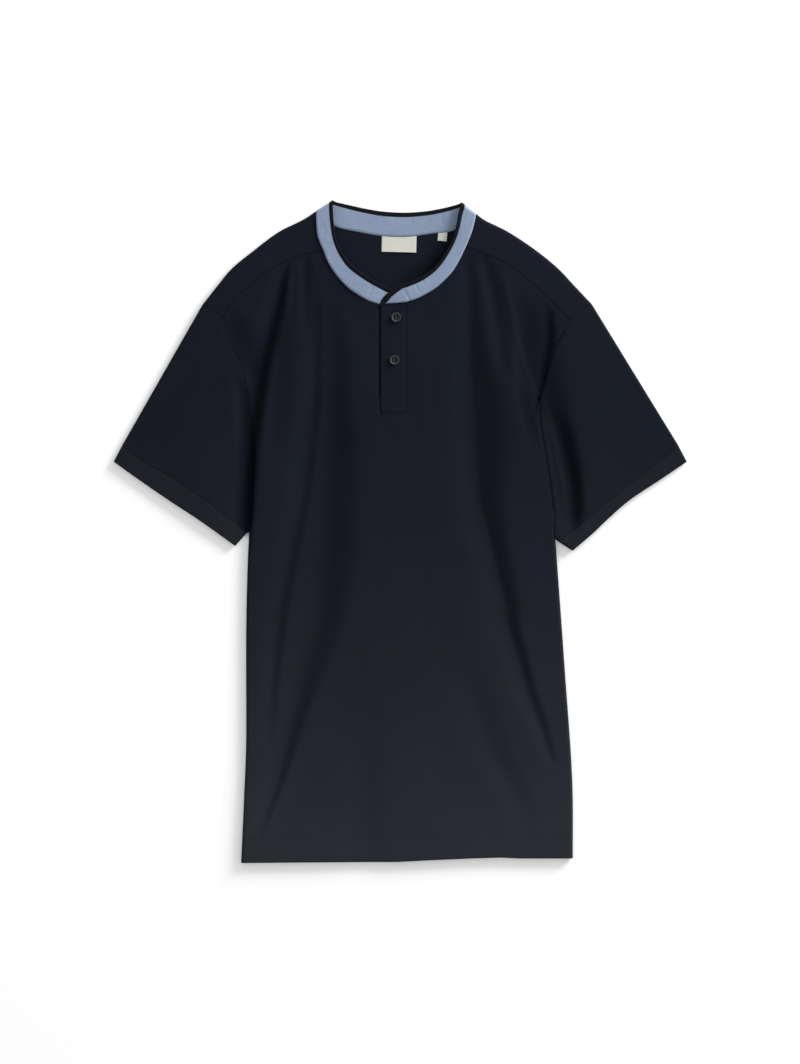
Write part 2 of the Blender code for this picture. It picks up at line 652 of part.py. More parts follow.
def wall_mesh(name, outer_grids, inner_grids, turned, closed):
    """Join the outer and the inner face of a wall and close its edges.

    Equal points of the outer face become one vertex, which joins the grids of a
    piece to each other. turned swaps the winding, and closed joins each row's
    last point to its first."""
    index_of, outer, inner, faces = {}, [], [], []
    for outer_grid, inner_grid in zip(outer_grids, inner_grids):
        numbers = []
        for outer_row, inner_row in zip(outer_grid, inner_grid):
            row = []
            for outer_point, inner_point in zip(outer_row, inner_row):
                key = tuple(round(value, 4) for value in outer_point)
                if key not in index_of:
                    index_of[key] = len(outer)
                    outer.append(outer_point)
                    inner.append(inner_point)
                row.append(index_of[key])
            numbers.append(row + row[:1] if closed else row)
        for low, high in zip(numbers, numbers[1:]):
            for cell in zip(low, low[1:], high[1:], high):
                corners = tuple(dict.fromkeys(cell))
                if len(corners) > 2:
                    faces.append(corners[::-1] if turned else corners)
    edges = {(a, b) for face in faces for a, b in zip(face, face[1:] + face[:1])}
    count = len(outer)
    walls = [(b, a, a + count, b + count) for a, b in sorted(edges)
             if (b, a) not in edges]
    insides = [tuple(i + count for i in reversed(face)) for face in faces]
    mesh = bpy.data.meshes.new(name)
    mesh.from_pydata([point * MM for point in outer + inner], [],
                     faces + insides + walls)
    mesh.validate()
    mesh.shade_smooth()
    mesh.set_sharp_from_angle(angle=math.radians(50))
    return mesh


def cloth(name, finish, grids_at, turned=False, closed=False):
    """One piece of cloth as a closed wall."""
    mesh = wall_mesh(name, grids_at(0.0), grids_at(WALL), turned, closed)
    piece = bpy.data.objects.new(name, mesh)
    piece.data.materials.append(material_for(finish, name))
    return piece


def button_blank(name, place):
    """A turned button: a rim round a shallow dish, flat underneath."""
    base = PLACKET_TOP_Z + SEAM_GAP
    profile = ((0.0, 0.66), (0.58, 0.66), (0.70, 0.76), (0.78, 0.96), (0.88, 1.0),
               (0.97, 0.88), (1.0, 0.62), (0.97, 0.26), (0.84, 0.0), (0.0, 0.0))
    mesh = bpy.data.meshes.new(name)
    points = [(BUTTON_RADIUS * MM * radius, 0.0, BUTTON_HEIGHT * MM * height)
              for radius, height in profile]
    mesh.from_pydata(points, [(i, i + 1) for i in range(len(points) - 1)], [])
    button = bpy.data.objects.new(name, mesh)
    button.location = (place[0] * MM, place[1] * MM, base * MM)
    button.data.materials.append(material_for(BUTTON, name))
    turning = button.modifiers.new("turning", "SCREW")
    turning.steps = turning.render_steps = 24
    turning.use_merge_vertices = True
    turning.merge_threshold = 0.00001
    return button


def drill_button(button, cutters):
    """Four sewing holes through a button."""
    for index in range(4):
        angle = math.radians(45 + 90 * index)
        place = Vector((math.cos(angle), math.sin(angle), 0.0)) * BUTTON_HOLE_OFFSET
        bpy.ops.mesh.primitive_cylinder_add(
            vertices=10, radius=BUTTON_HOLE_RADIUS * MM, depth=4 * BUTTON_HEIGHT * MM,
            location=button.location + place * MM)
        cutter = bpy.context.object
        cutter.name = "%s_hole_%d" % (button.name, index + 1)
        cutter.hide_render = True
        cutter.display_type = "WIRE"
        for collection in cutter.users_collection:
            collection.objects.unlink(cutter)
        cutters.objects.link(cutter)
        hole = button.modifiers.new("hole_%d" % (index + 1), "BOOLEAN")
        hole.object = cutter
        hole.operation = "DIFFERENCE"


def label(name, size, place, turn):
    """A blank woven label that lies on the back panel."""
    bpy.ops.mesh.primitive_cube_add(size=1.0)
    piece = bpy.context.object
    piece.name = piece.data.name = name
    piece.scale = [length * MM for length in size]
    bpy.ops.object.transform_apply(location=False, rotation=False, scale=True)
    height = WALL + SEAM_GAP + size[2] / 2
    piece.location = (place[0] * MM, place[1] * MM, height * MM)
    piece.rotation_euler.z = math.radians(turn)
    piece.data.materials.append(material_for(LABEL, name))
    for collection in piece.users_collection:
        collection.objects.unlink(piece)
    return piece


def build_shirt():
    """Make every piece and put it in the shirt's collection."""
    for leftover in list(bpy.data.objects):
        bpy.data.objects.remove(leftover, do_unlink=True)
    shirt = bpy.data.collections.new("band_collar_polo_shirt")
    cutters = bpy.data.collections.new("cutters")
    for collection in (shirt, cutters):
        bpy.context.scene.collection.children.link(collection)
    pieces = [
        cloth("front_panel", NAVY, front_grids),
        cloth("back_panel", NAVY, back_grids, turned=True),
        cloth("collar_band", CHAMBRAY, collar_grids),
        cloth("collar_tipping", NAVY_TRIM, tipping_grids),
        cloth("placket_upper", NAVY,
              lambda depth: placket_grids(PLACKET_TOP_Z, depth)),
        cloth("placket_under", NAVY,
              lambda depth: placket_grids(UNDER_PLACKET_TOP_Z, depth)),
        label("neck_label", NECK_LABEL, (-1.1, 327.4), -1.5),
        label("size_label", SIZE_LABEL, (48.6, 335.6), -14.0),
    ]
    for side in (LEFT, RIGHT):
        turned = side is LEFT
        pieces.append(cloth("sleeve_" + side.name, NAVY,
                            lambda depth: sleeve_grids(side, depth), turned, True))
        pieces.append(cloth("cuff_" + side.name, NAVY,
                            lambda depth: cuff_grids(side, depth), turned, True))
    for name, place in (("button_top", (-4.4, 244.0)), ("button_bottom", (-6.2, 195.4))):
        pieces.append(button_blank(name, place))
        drill_button(pieces[-1], cutters)
    for piece in pieces:
        shirt.objects.link(piece)


build_shirt()
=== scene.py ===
"""A band-collar polo shirt, laid flat and face up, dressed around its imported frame.

The shirt lies on Z = 0 with its neck towards +Y. Lengths are in millimetres in the
tables and in metres in the meshes. Left and right are those of somebody who looks
down at the shirt. Each cloth wall is lofted between its outer and its inner face.
"""
import logging
import math
from collections.abc import Callable, Sequence
from dataclasses import dataclass, field, replace
from enum import Enum
from itertools import product

import bmesh
import bpy
import numpy as np
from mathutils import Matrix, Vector


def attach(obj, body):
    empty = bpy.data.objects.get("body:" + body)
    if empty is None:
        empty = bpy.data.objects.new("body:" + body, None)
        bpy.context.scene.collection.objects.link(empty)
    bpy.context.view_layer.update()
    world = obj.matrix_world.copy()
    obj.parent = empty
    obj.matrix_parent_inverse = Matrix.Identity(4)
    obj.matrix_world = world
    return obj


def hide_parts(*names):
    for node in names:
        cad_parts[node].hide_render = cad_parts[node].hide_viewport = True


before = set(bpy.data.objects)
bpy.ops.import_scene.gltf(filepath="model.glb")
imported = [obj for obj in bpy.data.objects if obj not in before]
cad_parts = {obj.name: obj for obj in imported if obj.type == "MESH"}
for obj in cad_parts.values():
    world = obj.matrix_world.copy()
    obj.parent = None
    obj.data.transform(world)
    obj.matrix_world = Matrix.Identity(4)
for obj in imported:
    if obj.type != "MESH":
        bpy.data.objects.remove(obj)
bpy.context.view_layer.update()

LOG = logging.getLogger("shirt")
MM = 0.001
Array = np.ndarray
Pair = tuple[float, float]
Numbers = tuple[float, ...]
Points = Sequence[Numbers]
Piece = bpy.types.Object
Material = bpy.types.Material
# How many cells a stretch has, and its rough length in millimetres.
Cells = tuple[int, float]

# Where the fine cells beside a sewn edge end, in millimetres from it.
SEAM_STEPS = (0.4, 0.9, 1.6, 2.6, 4.0)
# The gap along each seam, and the thickness of each cloth wall.
SEAM_GAP = 0.12
WALL = 1.1
# The vertex attribute that holds the painted shade that darkens the cloth's colour in folds,
# along seams, round the buttons and inside the neck.
SHADE = "fold_shade"


class Kind(Enum):
    """The grooves along seams and edges: their depth, half width and painted shade. Those of
    no depth only paint shade.
    """

    SEAM = (0.16, 1.0, 0.32)
    SOFT_SEAM = (0.12, 1.1, 0.16)
    # Painted shadow of the body's edge on the sleeve; on the right, painted shade over the
    # edge where the light falls on it.
    BODY_EDGE = (0.0, 1.5, 0.60)
    LIT_BODY_EDGE = (0.0, 2.4, 0.72)
    CUT_EDGE = (0.30, 0.7, 0.0)
    SEWN_EDGE = (0.08, 0.8, 0.12)
    STRIP_EDGE = (0.12, 0.8, 0.48)
    BUTTON_SHADOW = (0.0, 1.3, 0.42)
    STITCH_LINE = (0.07, 0.9, 0.18)
    FREE_EDGE = (1.80, 1.0, 0.50)
    FREE_END = (0.70, 0.9, 0.30)
    CREASE = (0.90, 1.4, 0.45)


# --- outlines and folds

@dataclass(frozen=True)
class SideOutline:
    """The outlines of one side of the shirt as it lies, in rows of x, y."""

    name: str
    inward: int
    shoulder: Points
    cap: Points
    armhole: Points
    body_edge: Points
    underarm: float
    cuff_seam: Points
    cuff_edge: Points
    forward_seam: Points
    neck_seam: Points
    shoulder_neck: Points
    band_edge: Points
    band_tip: Pair


LEFT = SideOutline(
    name="left",
    inward=1,
    shoulder=((-225.7, 258.2), (-208.6, 279.9), (-191.5, 300.4), (-166.4, 320.9),
              (-139.1, 341.4), (-111.7, 355.1), (-95.8, 365.4)),
    cap=((-225.7, 258.2), (-212.0, 254.3), (-202.9, 243.4)),
    armhole=((-202.9, 243.4), (-194.9, 218.0), (-180.1, 187.5), (-172.1, 149.9),
             (-167.6, 118.0), (-166.4, 104.3)),
    body_edge=((-166.4, 104.3), (-168.7, 39.3), (-172.1, -1.7), (-174.4, -55.3),
               (-175.6, -123.7), (-175.6, -237.7), (-177.8, -300.0), (-181.3, -378.0)),
    underarm=-0.5,
    cuff_seam=((-317.0, 98.4), (-301.0, 85.0), (-259.1, 60.0), (-223.4, 36.0),
               (-192.7, 12.5), (-175.6, -2.6)),
    cuff_edge=((-326.8, 79.7), (-298.7, 59.5), (-264.5, 36.0), (-228.0, 12.0),
               (-188.1, -16.5)),
    forward_seam=((-202.9, 243.4), (-191.5, 261.6), (-165.9, 285.6), (-140.2, 302.7),
                  (-114.0, 314.1), (-87.8, 320.9)),
    neck_seam=((-87.8, 320.9), (-82.3, 307.2), (-73.6, 293.4), (-61.3, 279.5),
               (-51.2, 271.8), (-36.0, 262.9), (-21.7, 258.2)),
    shoulder_neck=((-95.8, 365.4), (-95.8, 355.1), (-94.8, 341.0), (-92.3, 331.2),
                   (-87.8, 320.9)),
    band_edge=((-76.5, 373.6), (-76.2, 362.0), (-74.4, 342.0), (-71.2, 329.7),
               (-64.9, 316.7), (-55.3, 304.0), (-37.3, 290.8), (-26.2, 284.4),
               (-13.5, 277.6)),
    band_tip=(-76.4, 377.9),
)
RIGHT = SideOutline(
    name="right",
    inward=-1,
    shoulder=((218.9, 259.4), (199.5, 279.9), (180.1, 300.4), (155.0, 320.9),
              (124.3, 341.4), (96.9, 355.1), (87.2, 362.4)),
    cap=((218.9, 259.4), (206.3, 253.0), (192.6, 241.5)),
    armhole=((192.6, 241.5), (186.5, 225.0), (173.3, 201.2), (158.8, 152.2)),
    body_edge=((158.8, 152.2), (160.3, 123.7), (166.1, 88.8), (173.3, 39.7),
               (177.3, -9.7), (182.4, -78.1), (188.9, -169.3), (192.3, -214.9),
               (195.4, -260.5), (197.2, -306.1), (197.2, -372.8)),
    underarm=-9.0,
    cuff_seam=((317.7, 98.2), (298.7, 80.5), (262.4, 53.5), (228.0, 25.5),
               (200.0, 2.5), (181.6, -12.4)),
    cuff_edge=((327.4, 79.7), (296.4, 58.7), (262.2, 35.9), (236.0, 13.1),
               (221.0, -1.3), (196.8, -22.0)),
    forward_seam=((192.6, 241.5), (173.3, 261.6), (147.1, 285.6), (124.3, 303.8),
                  (95.3, 316.9), (75.2, 324.3)),
    neck_seam=((75.2, 324.3), (66.8, 307.2), (57.8, 293.5), (43.9, 279.8),
               (33.8, 272.8), (20.6, 265.7), (7.1, 261.2)),
    shoulder_neck=((87.2, 362.4), (85.2, 353.0), (82.1, 341.4), (78.7, 332.6),
                   (75.2, 324.3)),
    band_edge=((69.2, 371.2), (66.6, 362.0), (64.1, 348.3), (60.9, 337.0),
               (55.7, 325.5), (49.1, 314.0), (42.2, 304.6), (34.4, 297.2),
               (23.4, 289.9), (9.4, 283.6)),
    band_tip=(70.1, 375.4),
)
SIDES = (LEFT, RIGHT)

HEM = ((-181.3, -378.0), (-114.0, -377.4), (-2.0, -376.8), (31.0, -375.0),
       (81.0, -372.8), (114.0, -371.8), (137.0, -372.8), (197.2, -372.8))
BACK_NECK_SEAM = ((-95.8, 362.0), (-74.8, 348.3), (-47.9, 342.0), (-19.8, 337.3),
                  (8.0, 336.5), (39.6, 340.5), (62.2, 344.0), (86.5, 359.0))
BACK_NECK_EDGE = ((-72.6, 376.0), (-59.6, 373.0), (-39.6, 368.6), (-18.0, 365.2),
                  (6.0, 364.1), (29.7, 365.7), (49.5, 369.2), (65.2, 373.2))


@dataclass(frozen=True)
class Fold:
    """One fold of the cloth, with a steep side towards +X and a gentle one.

    Its rows give y, the x of the middle of the steep side, the steep side's width,
    the depth and the gentle side's width. A positive depth is a trough and a
    negative one a ridge. The crest is how far the cloth rises beyond the steep
    side, as a share of the depth. The shade is how far painted shade darkens the
    cloth's colour in the fold, where it lies in shadow. A keen fold turns at
    once from its valley into its steep side.
    """

    rows: Points
    shade: float = 0.0
    crest: float = 0.0
    keen: float = 0.0


BODY_FOLDS: dict[str, Fold] = {
    "left_long": Fold((
        (262, -70, 14, 0.0, 20), (227, -69, 18, 1.3, 26), (195, -67, 22, 2.4, 30),
        (155, -67, 26, 3.2, 34), (101, -64, 36, 4.2, 38), (47, -66, 42, 4.4, 40),
        (-7, -68, 42, 4.4, 42), (-61, -72, 40, 4.4, 42), (-110, -80, 34, 4.3, 40),
        (-150, -93, 28, 4.2, 36), (-183, -104, 22, 4.0, 32), (-235, -120, 16, 3.5, 26),
        (-288, -136, 10, 2.6, 20), (-320, -148, 7, 1.8, 14), (-350, -161, 5, 0.0, 8)),
        0.16, 0.30),
    "left_second": Fold((
        (300, -97, 8, 0.0, 12), (263, -93, 10, 0.8, 14), (155, -93, 13, 2.0, 18),
        (101, -99, 13, 2.3, 20), (47, -105, 13, 2.5, 20), (-21, -118, 13, 2.5, 20),
        (-61, -126, 13, 2.4, 18), (-110, -134, 12, 2.2, 18), (-157, -139, 11, 1.8, 16),
        (-209, -144, 10, 1.2, 14), (-255, -148, 10, 0.0, 12)), 0.12, 0.15),
    "left_armhole": Fold((
        (308, -124, 6, 0.0, 10), (292, -129, 9, 2.2, 12), (262, -135, 13, 3.6, 16),
        (223, -144, 17, 4.4, 20), (175, -155, 19, 4.4, 22), (140, -161, 18, 4.4, 24),
        (101, -166, 17, 4.4, 28), (47, -170, 16, 4.2, 34), (1, -173, 14, 3.4, 34),
        (-20, -175, 12, 0.0, 30)), 0.72, 0.12),
    "left_gather": Fold((
        (316, -103, 6, 0.0, 6), (300, -104, 9, 1.6, 7), (272, -104, 10, 1.6, 8),
        (240, -104, 8, 0.6, 8), (215, -104, 8, 0.0, 8)), 0.30),
    "left_thin_gather": Fold((
        (300, -117, 5, 0.0, 5), (290, -117, 7, 1.2, 6), (268, -118, 7, 1.0, 6),
        (235, -120, 6, 0.0, 6)), 0.25),
    "left_shade": Fold((
        (285, -121, 10, 0.0, 8), (264, -124, 18, 1.0, 8), (200, -127, 24, 1.6, 10),
        (150, -131, 24, 1.3, 10), (110, -136, 20, 0.6, 10), (85, -138, 16, 0.0, 10)),
        0.12),
    "right_long": Fold((
        (324, 83, 8, 0.0, 10), (300, 86, 14, 1.4, 14), (280, 89, 17, 2.0, 16),
        (215, 94, 26, 2.9, 22), (155, 106, 44, 4.0, 26), (101, 110, 46, 4.4, 30),
        (47, 108, 34, 4.4, 32), (20, 111, 29, 4.3, 32), (-34, 121, 22, 4.0, 32),
        (-88, 131, 17, 3.6, 30), (-110, 133, 15, 3.4, 28), (-141, 142, 12, 3.1, 26),
        (-183, 153, 10, 2.7, 22), (-220, 166, 8, 2.0, 16), (-251, 174, 6, 1.2, 12),
        (-270, 180, 5, 0.0, 8)), 0.29, 0.15, 0.85),
    "right_second": Fold((
        (318, 98, 8, 0.0, 10), (306, 103, 12, 1.5, 13), (273, 113, 16, 2.1, 14),
        (236, 120, 17, 2.1, 14), (195, 124, 16, 1.4, 14), (165, 127, 12, 0.0, 12)),
        0.24, 0.05, 0.3),
    "right_ridge": Fold((
        (306, 118, 4, 0.0, 4), (264, 127, 5, -0.5, 6), (218, 136, 5, -0.7, 6),
        (192, 143, 5, -0.7, 6), (168, 151, 5, -0.6, 5), (152, 156, 4, 0.0, 4))),
    "right_yoke": Fold((
        (275, 140, 16, 0.0, 16), (250, 148, 24, 1.3, 20), (225, 152, 28, 2.0, 20),
        (200, 155, 24, 2.0, 16), (175, 157, 16, 1.4, 12), (158, 157, 8, 0.0, 8)), 0.20),
    "right_armhole": Fold((
        (262, 171, 6, 0.0, 8), (243, 173, 9, 2.0, 12), (220, 174, 11, 3.2, 16),
        (198, 170, 11, 3.5, 18), (171, 164, 8, 2.9, 16), (150, 159, 5, 1.4, 10),
        (130, 158, 5, 0.0, 6)), 0.72, 0.0, 0.4),
    "right_low": Fold((
        (-140, 76, 26, 0.0, 26), (-199, 100, 30, 1.3, 30), (-257, 121, 26, 1.6, 28),
        (-299, 142, 22, 1.2, 24), (-352, 156, 18, 0.0, 20)), 0.05),
    "left_seam_shade": Fold((
        (262, -192, 12, 0.0, 10), (240, -183, 30, 0.6, 10), (218, -174, 34, 0.7, 10),
        (190, -168, 28, 0.6, 10), (165, -163, 16, 0.0, 8)), 1.7),
    "right_edge_shade": Fold((
        (258, 162, 20, 0.0, 10), (235, 158, 34, 0.5, 10), (205, 155, 34, 0.6, 10),
        (184, 151, 28, 0.7, 10), (150, 148, 20, 0.7, 8), (115, 153, 14, 0.45, 8),
        (90, 160, 10, 0.0, 8)), 1.6),
    "hem_left": Fold((
        (-190, -22, 24, 0.0, 30), (-240, -26, 30, 1.0, 34), (-288, -30, 34, 1.5, 38),
        (-340, -28, 30, 1.4, 40), (-378, -22, 26, 1.0, 40), (-430, -20, 20, 0.0, 40)),
        0.06),
}

# Folds of the sleeves alone.
SLEEVE_FOLDS: dict[str, Fold] = {
    "left_sleeve": Fold((
        (176, -186, 14, 0.0, 16), (130, -192, 18, 0.8, 20), (75, -198, 18, 0.9, 20),
        (25, -203, 16, 0.0, 16)), 0.05),
    "left_edge_shade": Fold((
        (190, -182, 16, 0.0, 8), (165, -177, 16, 1.2, 8), (139, -173, 16, 2.0, 8),
        (93, -170, 18, 2.2, 8), (47, -173, 18, 2.2, 8), (12, -177, 14, 1.4, 8),
        (-6, -179, 10, 0.0, 8)), 0.80),
    "right_sleeve": Fold((
        (238, 172, 12, 0.0, 8), (210, 173, 28, 0.9, 8), (184, 173, 38, 1.8, 10),
        (158, 176, 36, 2.2, 14), (141, 180, 31, 2.5, 18), (119, 188, 26, 3.3, 26),
        (101, 193, 24, 4.1, 34), (60, 201, 20, 4.4, 38), (25, 203, 18, 3.9, 36),
        (4, 202, 14, 1.6, 24), (-10, 200, 12, 0.0, 14)), 0.66, 0.06),
    "right_thin_ridge": Fold((
        (150, 167, 5, 0.0, 4), (110, 176, 6, -0.7, 5), (60, 186, 6, -0.8, 5),
        (12, 192, 5, 0.0, 4))),
}
# A short crease that branches off beside the right armhole.
BRANCH_CREASE = ((187.0, 228.0), (181.0, 219.0), (174.0, 210.0))
BUTTON_PLACES = {"top": (-4.4, 244.0), "bottom": (-6.2, 195.4)}
# The radius of the ring of painted shadow round each button.
SHADOW_RING_RADIUS = 5.8


# --- curves

def smooth_line(points: Points, fineness: int = 24) -> Array:
    """Draw a smooth curve through points.

    Args:
        points: The rows that the curve passes through.
        fineness: How many straight pieces stand for each stretch.

    Returns:
        The curve's own rows, close together.
    """
    knots = np.asarray(points, dtype=float)
    knots = np.vstack([2 * knots[0] - knots[1], knots, 2 * knots[-1] - knots[-2]])
    t = np.arange(fineness)[:, None] / fineness
    runs = []
    for before, start, end, after in zip(knots, knots[1:], knots[2:], knots[3:]):
        leave, arrive = (end - before) / 2, (after - start) / 2
        runs.append((2 * t**3 - 3 * t**2 + 1) * start + (t**3 - 2 * t**2 + t) * leave
                    + (3 * t**2 - 2 * t**3) * end + (t**3 - t**2) * arrive)
    return np.vstack(runs + [knots[-2:-1]])


def lengths(line: Array) -> Array:
    """Distance of each row of a line from its first, measured along it."""
    steps = np.linalg.norm(np.diff(line, axis=0), axis=1)
    return np.concatenate([[0.0], np.cumsum(steps)])


def along(line: Array, shares: Array) -> Array:
    """Pick points on a line.

    Args:
        line: The rows of the line.
        shares: How far along it each point lies, from 0 to 1.

    Returns:
        One row a share.
    """
    reach = lengths(line)
    wanted = np.asarray(shares) * reach[-1]
    return np.stack([np.interp(wanted, reach, column) for column in line.T], axis=1)


def curve(points: Points, shares: Array) -> Array:
    """Points at the given shares of the smooth curve through the given rows."""
    return along(smooth_line(points), shares)


def even(cells: int) -> Array:
    """Shares of a stretch that is split into equal cells."""
    return np.linspace(0.0, 1.0, cells + 1)


def graded(cells: int, length: float, start: bool, end: bool) -> Array:
    """Split a stretch into cells, with finer ones by its sewn ends.

    Args:
        cells: How many equal cells it has.
        length: Its rough length in millimetres.
        start: Whether its start is sewn.
        end: Whether its end is sewn.

    Returns:
        The shares at which the cells meet.
    """
    fine = np.array(SEAM_STEPS) / length
    inner = even(cells)[1:-1]
    low, high = (fine[-1] * 1.1 if sewn else 0.0 for sewn in (start, end))
    inner = inner[(inner > low) & (inner < 1 - high)]
    parts = [[0.0], fine if start else [], inner, (1 - fine)[::-1] if end else [], [1.0]]
    return np.concatenate(parts)


def height_on(points: Points, x: Array) -> Array:
    """The y of a left-to-right outline at x."""
    table = np.asarray(points)
    return np.interp(x, table[:, 0], table[:, 1])


def between(anchors: Points, zones: Sequence[Array]) -> Array:
    """Split each stretch between neighbouring anchors by its own shares."""
    anchors = np.asarray(anchors, dtype=float)
    runs = [start + (end - start) * shares[:-1, None]
            for start, end, shares in zip(anchors, anchors[1:], zones)]
    return np.vstack(runs + [anchors[-1:]])


def norms(rows: Array) -> Array:
    """The length of each row, as a column."""
    return np.linalg.norm(rows, axis=-1, keepdims=True)


def towards(points: Array, targets: Array, distance: float) -> Array:
    """Each point moved straight towards its target."""
    way = targets - points
    return points + way / norms(way) * distance


def side_fades(zones: Sequence[Array]) -> Array:
    """How far each column of a row of stretches follows its left and right edge."""
    fades = np.zeros((2, sum(len(zone) - 1 for zone in zones) + 1))
    fades[0, :len(zones[0])] = 1 - zones[0]
    fades[1, -len(zones[-1]):] = zones[-1]
    return fades


def patch(edges: tuple[Array, Array, Array, Array], rows: Array,
          fades: Sequence[Array]) -> Array:
    """Fill the space between four edges.

    Args:
        edges: The bottom, top, left and right edges, as rows of points.
        rows: The share of each row between the bottom and the top.
        fades: How far each column follows the left and the right edge.

    Returns:
        A grid of points in the plan.
    """
    bottom, top, left, right = edges
    share = rows[:, None, None]
    grid = bottom[None] * (1 - share) + top[None] * share
    left_bend, right_bend = left - grid[:, 0], right - grid[:, -1]
    grid = grid + left_bend[:, None] * fades[0][None, :, None]
    return grid + right_bend[:, None] * fades[1][None, :, None]


def distance_to(line: Array, plan: Array) -> Array:
    """Distance from each point of the plan to a line."""
    x, y = plan[..., 0], plan[..., 1]
    best = np.full(x.shape, np.inf)
    for (ax, ay), (bx, by) in zip(line, line[1:]):
        dx, dy = bx - ax, by - ay
        share = np.clip(((x - ax) * dx + (y - ay) * dy) / (dx * dx + dy * dy), 0, 1)
        best = np.minimum(best, np.hypot(x - ax - share * dx, y - ay - share * dy))
    return best


def close_to(line: Array, width: float, plan: Array) -> tuple[Array, Array]:
    """Find the points of a plan that are close to a line.

    Args:
        line: The rows of the line.
        width: The distance over which closeness fades.
        plan: The points.

    Returns:
        Which of the points are close, and how close those are, up to 1.
    """
    low, high = line.min(axis=0) - 4 * width, line.max(axis=0) + 4 * width
    near = ((plan > low) & (plan < high)).all(axis=-1)
    return near, np.exp(-(distance_to(line, plan[near]) / width) ** 2)


# --- the lie

@dataclass
class Lie:
    """How high the top layer lies over the floor, with its folds and grooves."""

    front_top: float = 6.8
    cuff_top: float = 5.4
    lowest: float = 2.4
    swell: float = 1.6
    fall_from: float = 200.0
    fall_to: float = 290.0
    hem_width: float = 28.0
    hem_step: float = 0.16
    hem_blend: float = 0.6
    swell_middle: Pair = (10.0, -120.0)
    swell_reach: Pair = (125.0, 190.0)
    # How softly a fold lands on the layers below it.
    settle: float = 0.3
    crest_reach: float = 1.3
    # Where the shade lies across the steep side of a fold, as shares of its width.
    shade_middle: float = 0.48
    keen_shift: float = 0.14
    shade_reach: float = 0.42
    full_shade_depth: float = 3.4
    # The shares of the height between which the shade sets in, over the floor layer.
    shaded_from: float = 0.25
    shaded_blend: float = 0.3
    folds: list[tuple[Array, Fold]] = field(default_factory=list)
    grooves: list[tuple[Array, float, float, float]] = field(default_factory=list)

    def add_folds(self, folds: dict[str, Fold]) -> None:
        """Take in folds, with their fine rows upwards in y."""
        for fold in folds.values():
            fine = smooth_line(fold.rows, 8)
            self.folds.append((fine[np.argsort(fine[:, 0])], fold))

    def with_folds(self, folds: dict[str, Fold]) -> "Lie":
        """The same lie with more folds, for a piece of its own."""
        other = replace(self, folds=list(self.folds), grooves=self.grooves)
        other.add_folds(folds)
        return other

    @staticmethod
    def across(rows: Array, plan: Array) -> tuple[Array, Array, Array, Array]:
        """Place of points across one fold.

        Args:
            rows: The fold's fine rows.
            plan: The points.

        Returns:
            The share of the steep side passed, the distance before its valley, and
            the fold's depth and gentle width there.
        """
        middle, steep, depth, gentle = (np.interp(plan[..., 1], rows[:, 0], column)
                                        for column in rows.T[1:])
        away = plan[..., 0] - (middle - steep / 2)
        return away / steep, np.maximum(-away, 0), depth, gentle

    def fall(self, rows: Array, fold: Fold, plan: Array) -> Array:
        """How far one fold lowers the cloth at each point."""
        share, before, depth, gentle = self.across(rows, plan)
        climb = np.clip(share, 0, 1)
        climb = (climb * climb * (3 - 2 * climb) * (1 - fold.keen)
                 + (1 - (1 - climb) ** 2) * fold.keen)
        beyond = np.exp(-((np.maximum(share, 1) - 1) / self.crest_reach) ** 2)
        right = 1 - climb * (1 + fold.crest * beyond)
        left = np.exp(-2 * (before / gentle) ** 2)
        return depth * np.where(share > 0, right, left)

    def shade(self, plan: Array) -> Array:
        """The share of painted shade deep in folds, along seams and edges and round the
        buttons.
        """
        kept = np.ones(plan.shape[:-1])
        # Painted shade: each fold darkens the cloth across its steep side, and each groove
        # along its line.
        for rows, fold in self.folds:
            share, _, depth, _ = self.across(rows, plan)
            off = share - self.shade_middle + self.keen_shift * fold.keen
            inside = np.exp(-(off / self.shade_reach) ** 2)
            painted_shade = fold.shade * np.clip(np.abs(depth) / self.full_shade_depth, 0, 1) * inside
            kept = kept * (1 - painted_shade)
        for line, _, width, dark in self.grooves:
            if dark:
                near, closeness = close_to(line, width, plan)
                kept[near] *= 1 - dark * closeness
        return 1 - kept

    def groove(self, line: Array, kind: Kind) -> None:
        """Lower the cloth along a seam, stitch line or edge."""
        self.grooves.append((line, *kind.value))

    def height(self, plan: Array) -> Array:
        """Height of the outer face of the top layer.

        Args:
            plan: The points, as x and y.

        Returns:
            The height in millimetres at each point.
        """
        x, y = plan[..., 0], plan[..., 1]
        fall = np.clip((np.abs(x) - self.fall_from) / (self.fall_to - self.fall_from),
                       0, 1)
        height = self.front_top + (self.cuff_top - self.front_top) * fall
        (middle_x, middle_y), (reach_x, reach_y) = self.swell_middle, self.swell_reach
        height = height + self.swell * np.exp(-((x - middle_x) / reach_x) ** 4
                                              - ((y - middle_y) / reach_y) ** 6)
        for rows, fold in self.folds:
            height = height - self.fall(rows, fold, plan)
        above = np.logaddexp(0, (height - self.lowest) / self.settle)
        height = self.lowest + above * self.settle
        height = height + self.ripple(x, y)
        over_hem = (y - height_on(HEM, x) - self.hem_width) / self.hem_blend
        height = height + self.hem_step / (1 + np.exp(over_hem))
        for line, depth, width, _ in self.grooves:
            near, closeness = close_to(line, width, plan)
            height[near] -= depth * closeness
        return height

    @staticmethod
    def ripple(x: Array, y: Array) -> Array:
        """The slight unevenness of cloth that has been smoothed by hand."""
        slow = np.sin(x / 31 + 0.7 * np.sin(y / 83)) * np.sin(y / 57 + 1.3)
        quick = np.sin(x / 13 + y / 71 + 2.0) * np.sin(y / 23 + x / 47)
        return 0.16 * slow + 0.07 * quick

    def top(self, plan: Array, depth: float) -> Array:
        """Points of the top layer over a plan, at a depth under its outer face."""
        height = self.height(plan) - depth
        return np.concatenate([plan, height[..., None]], axis=-1)


def floor_layer(plan: Array, depth: float) -> Array:
    """Points of the layer on the floor, whose outer face is its underside."""
    return np.concatenate([plan, np.full(plan.shape[:-1] + (1,), depth)], axis=-1)


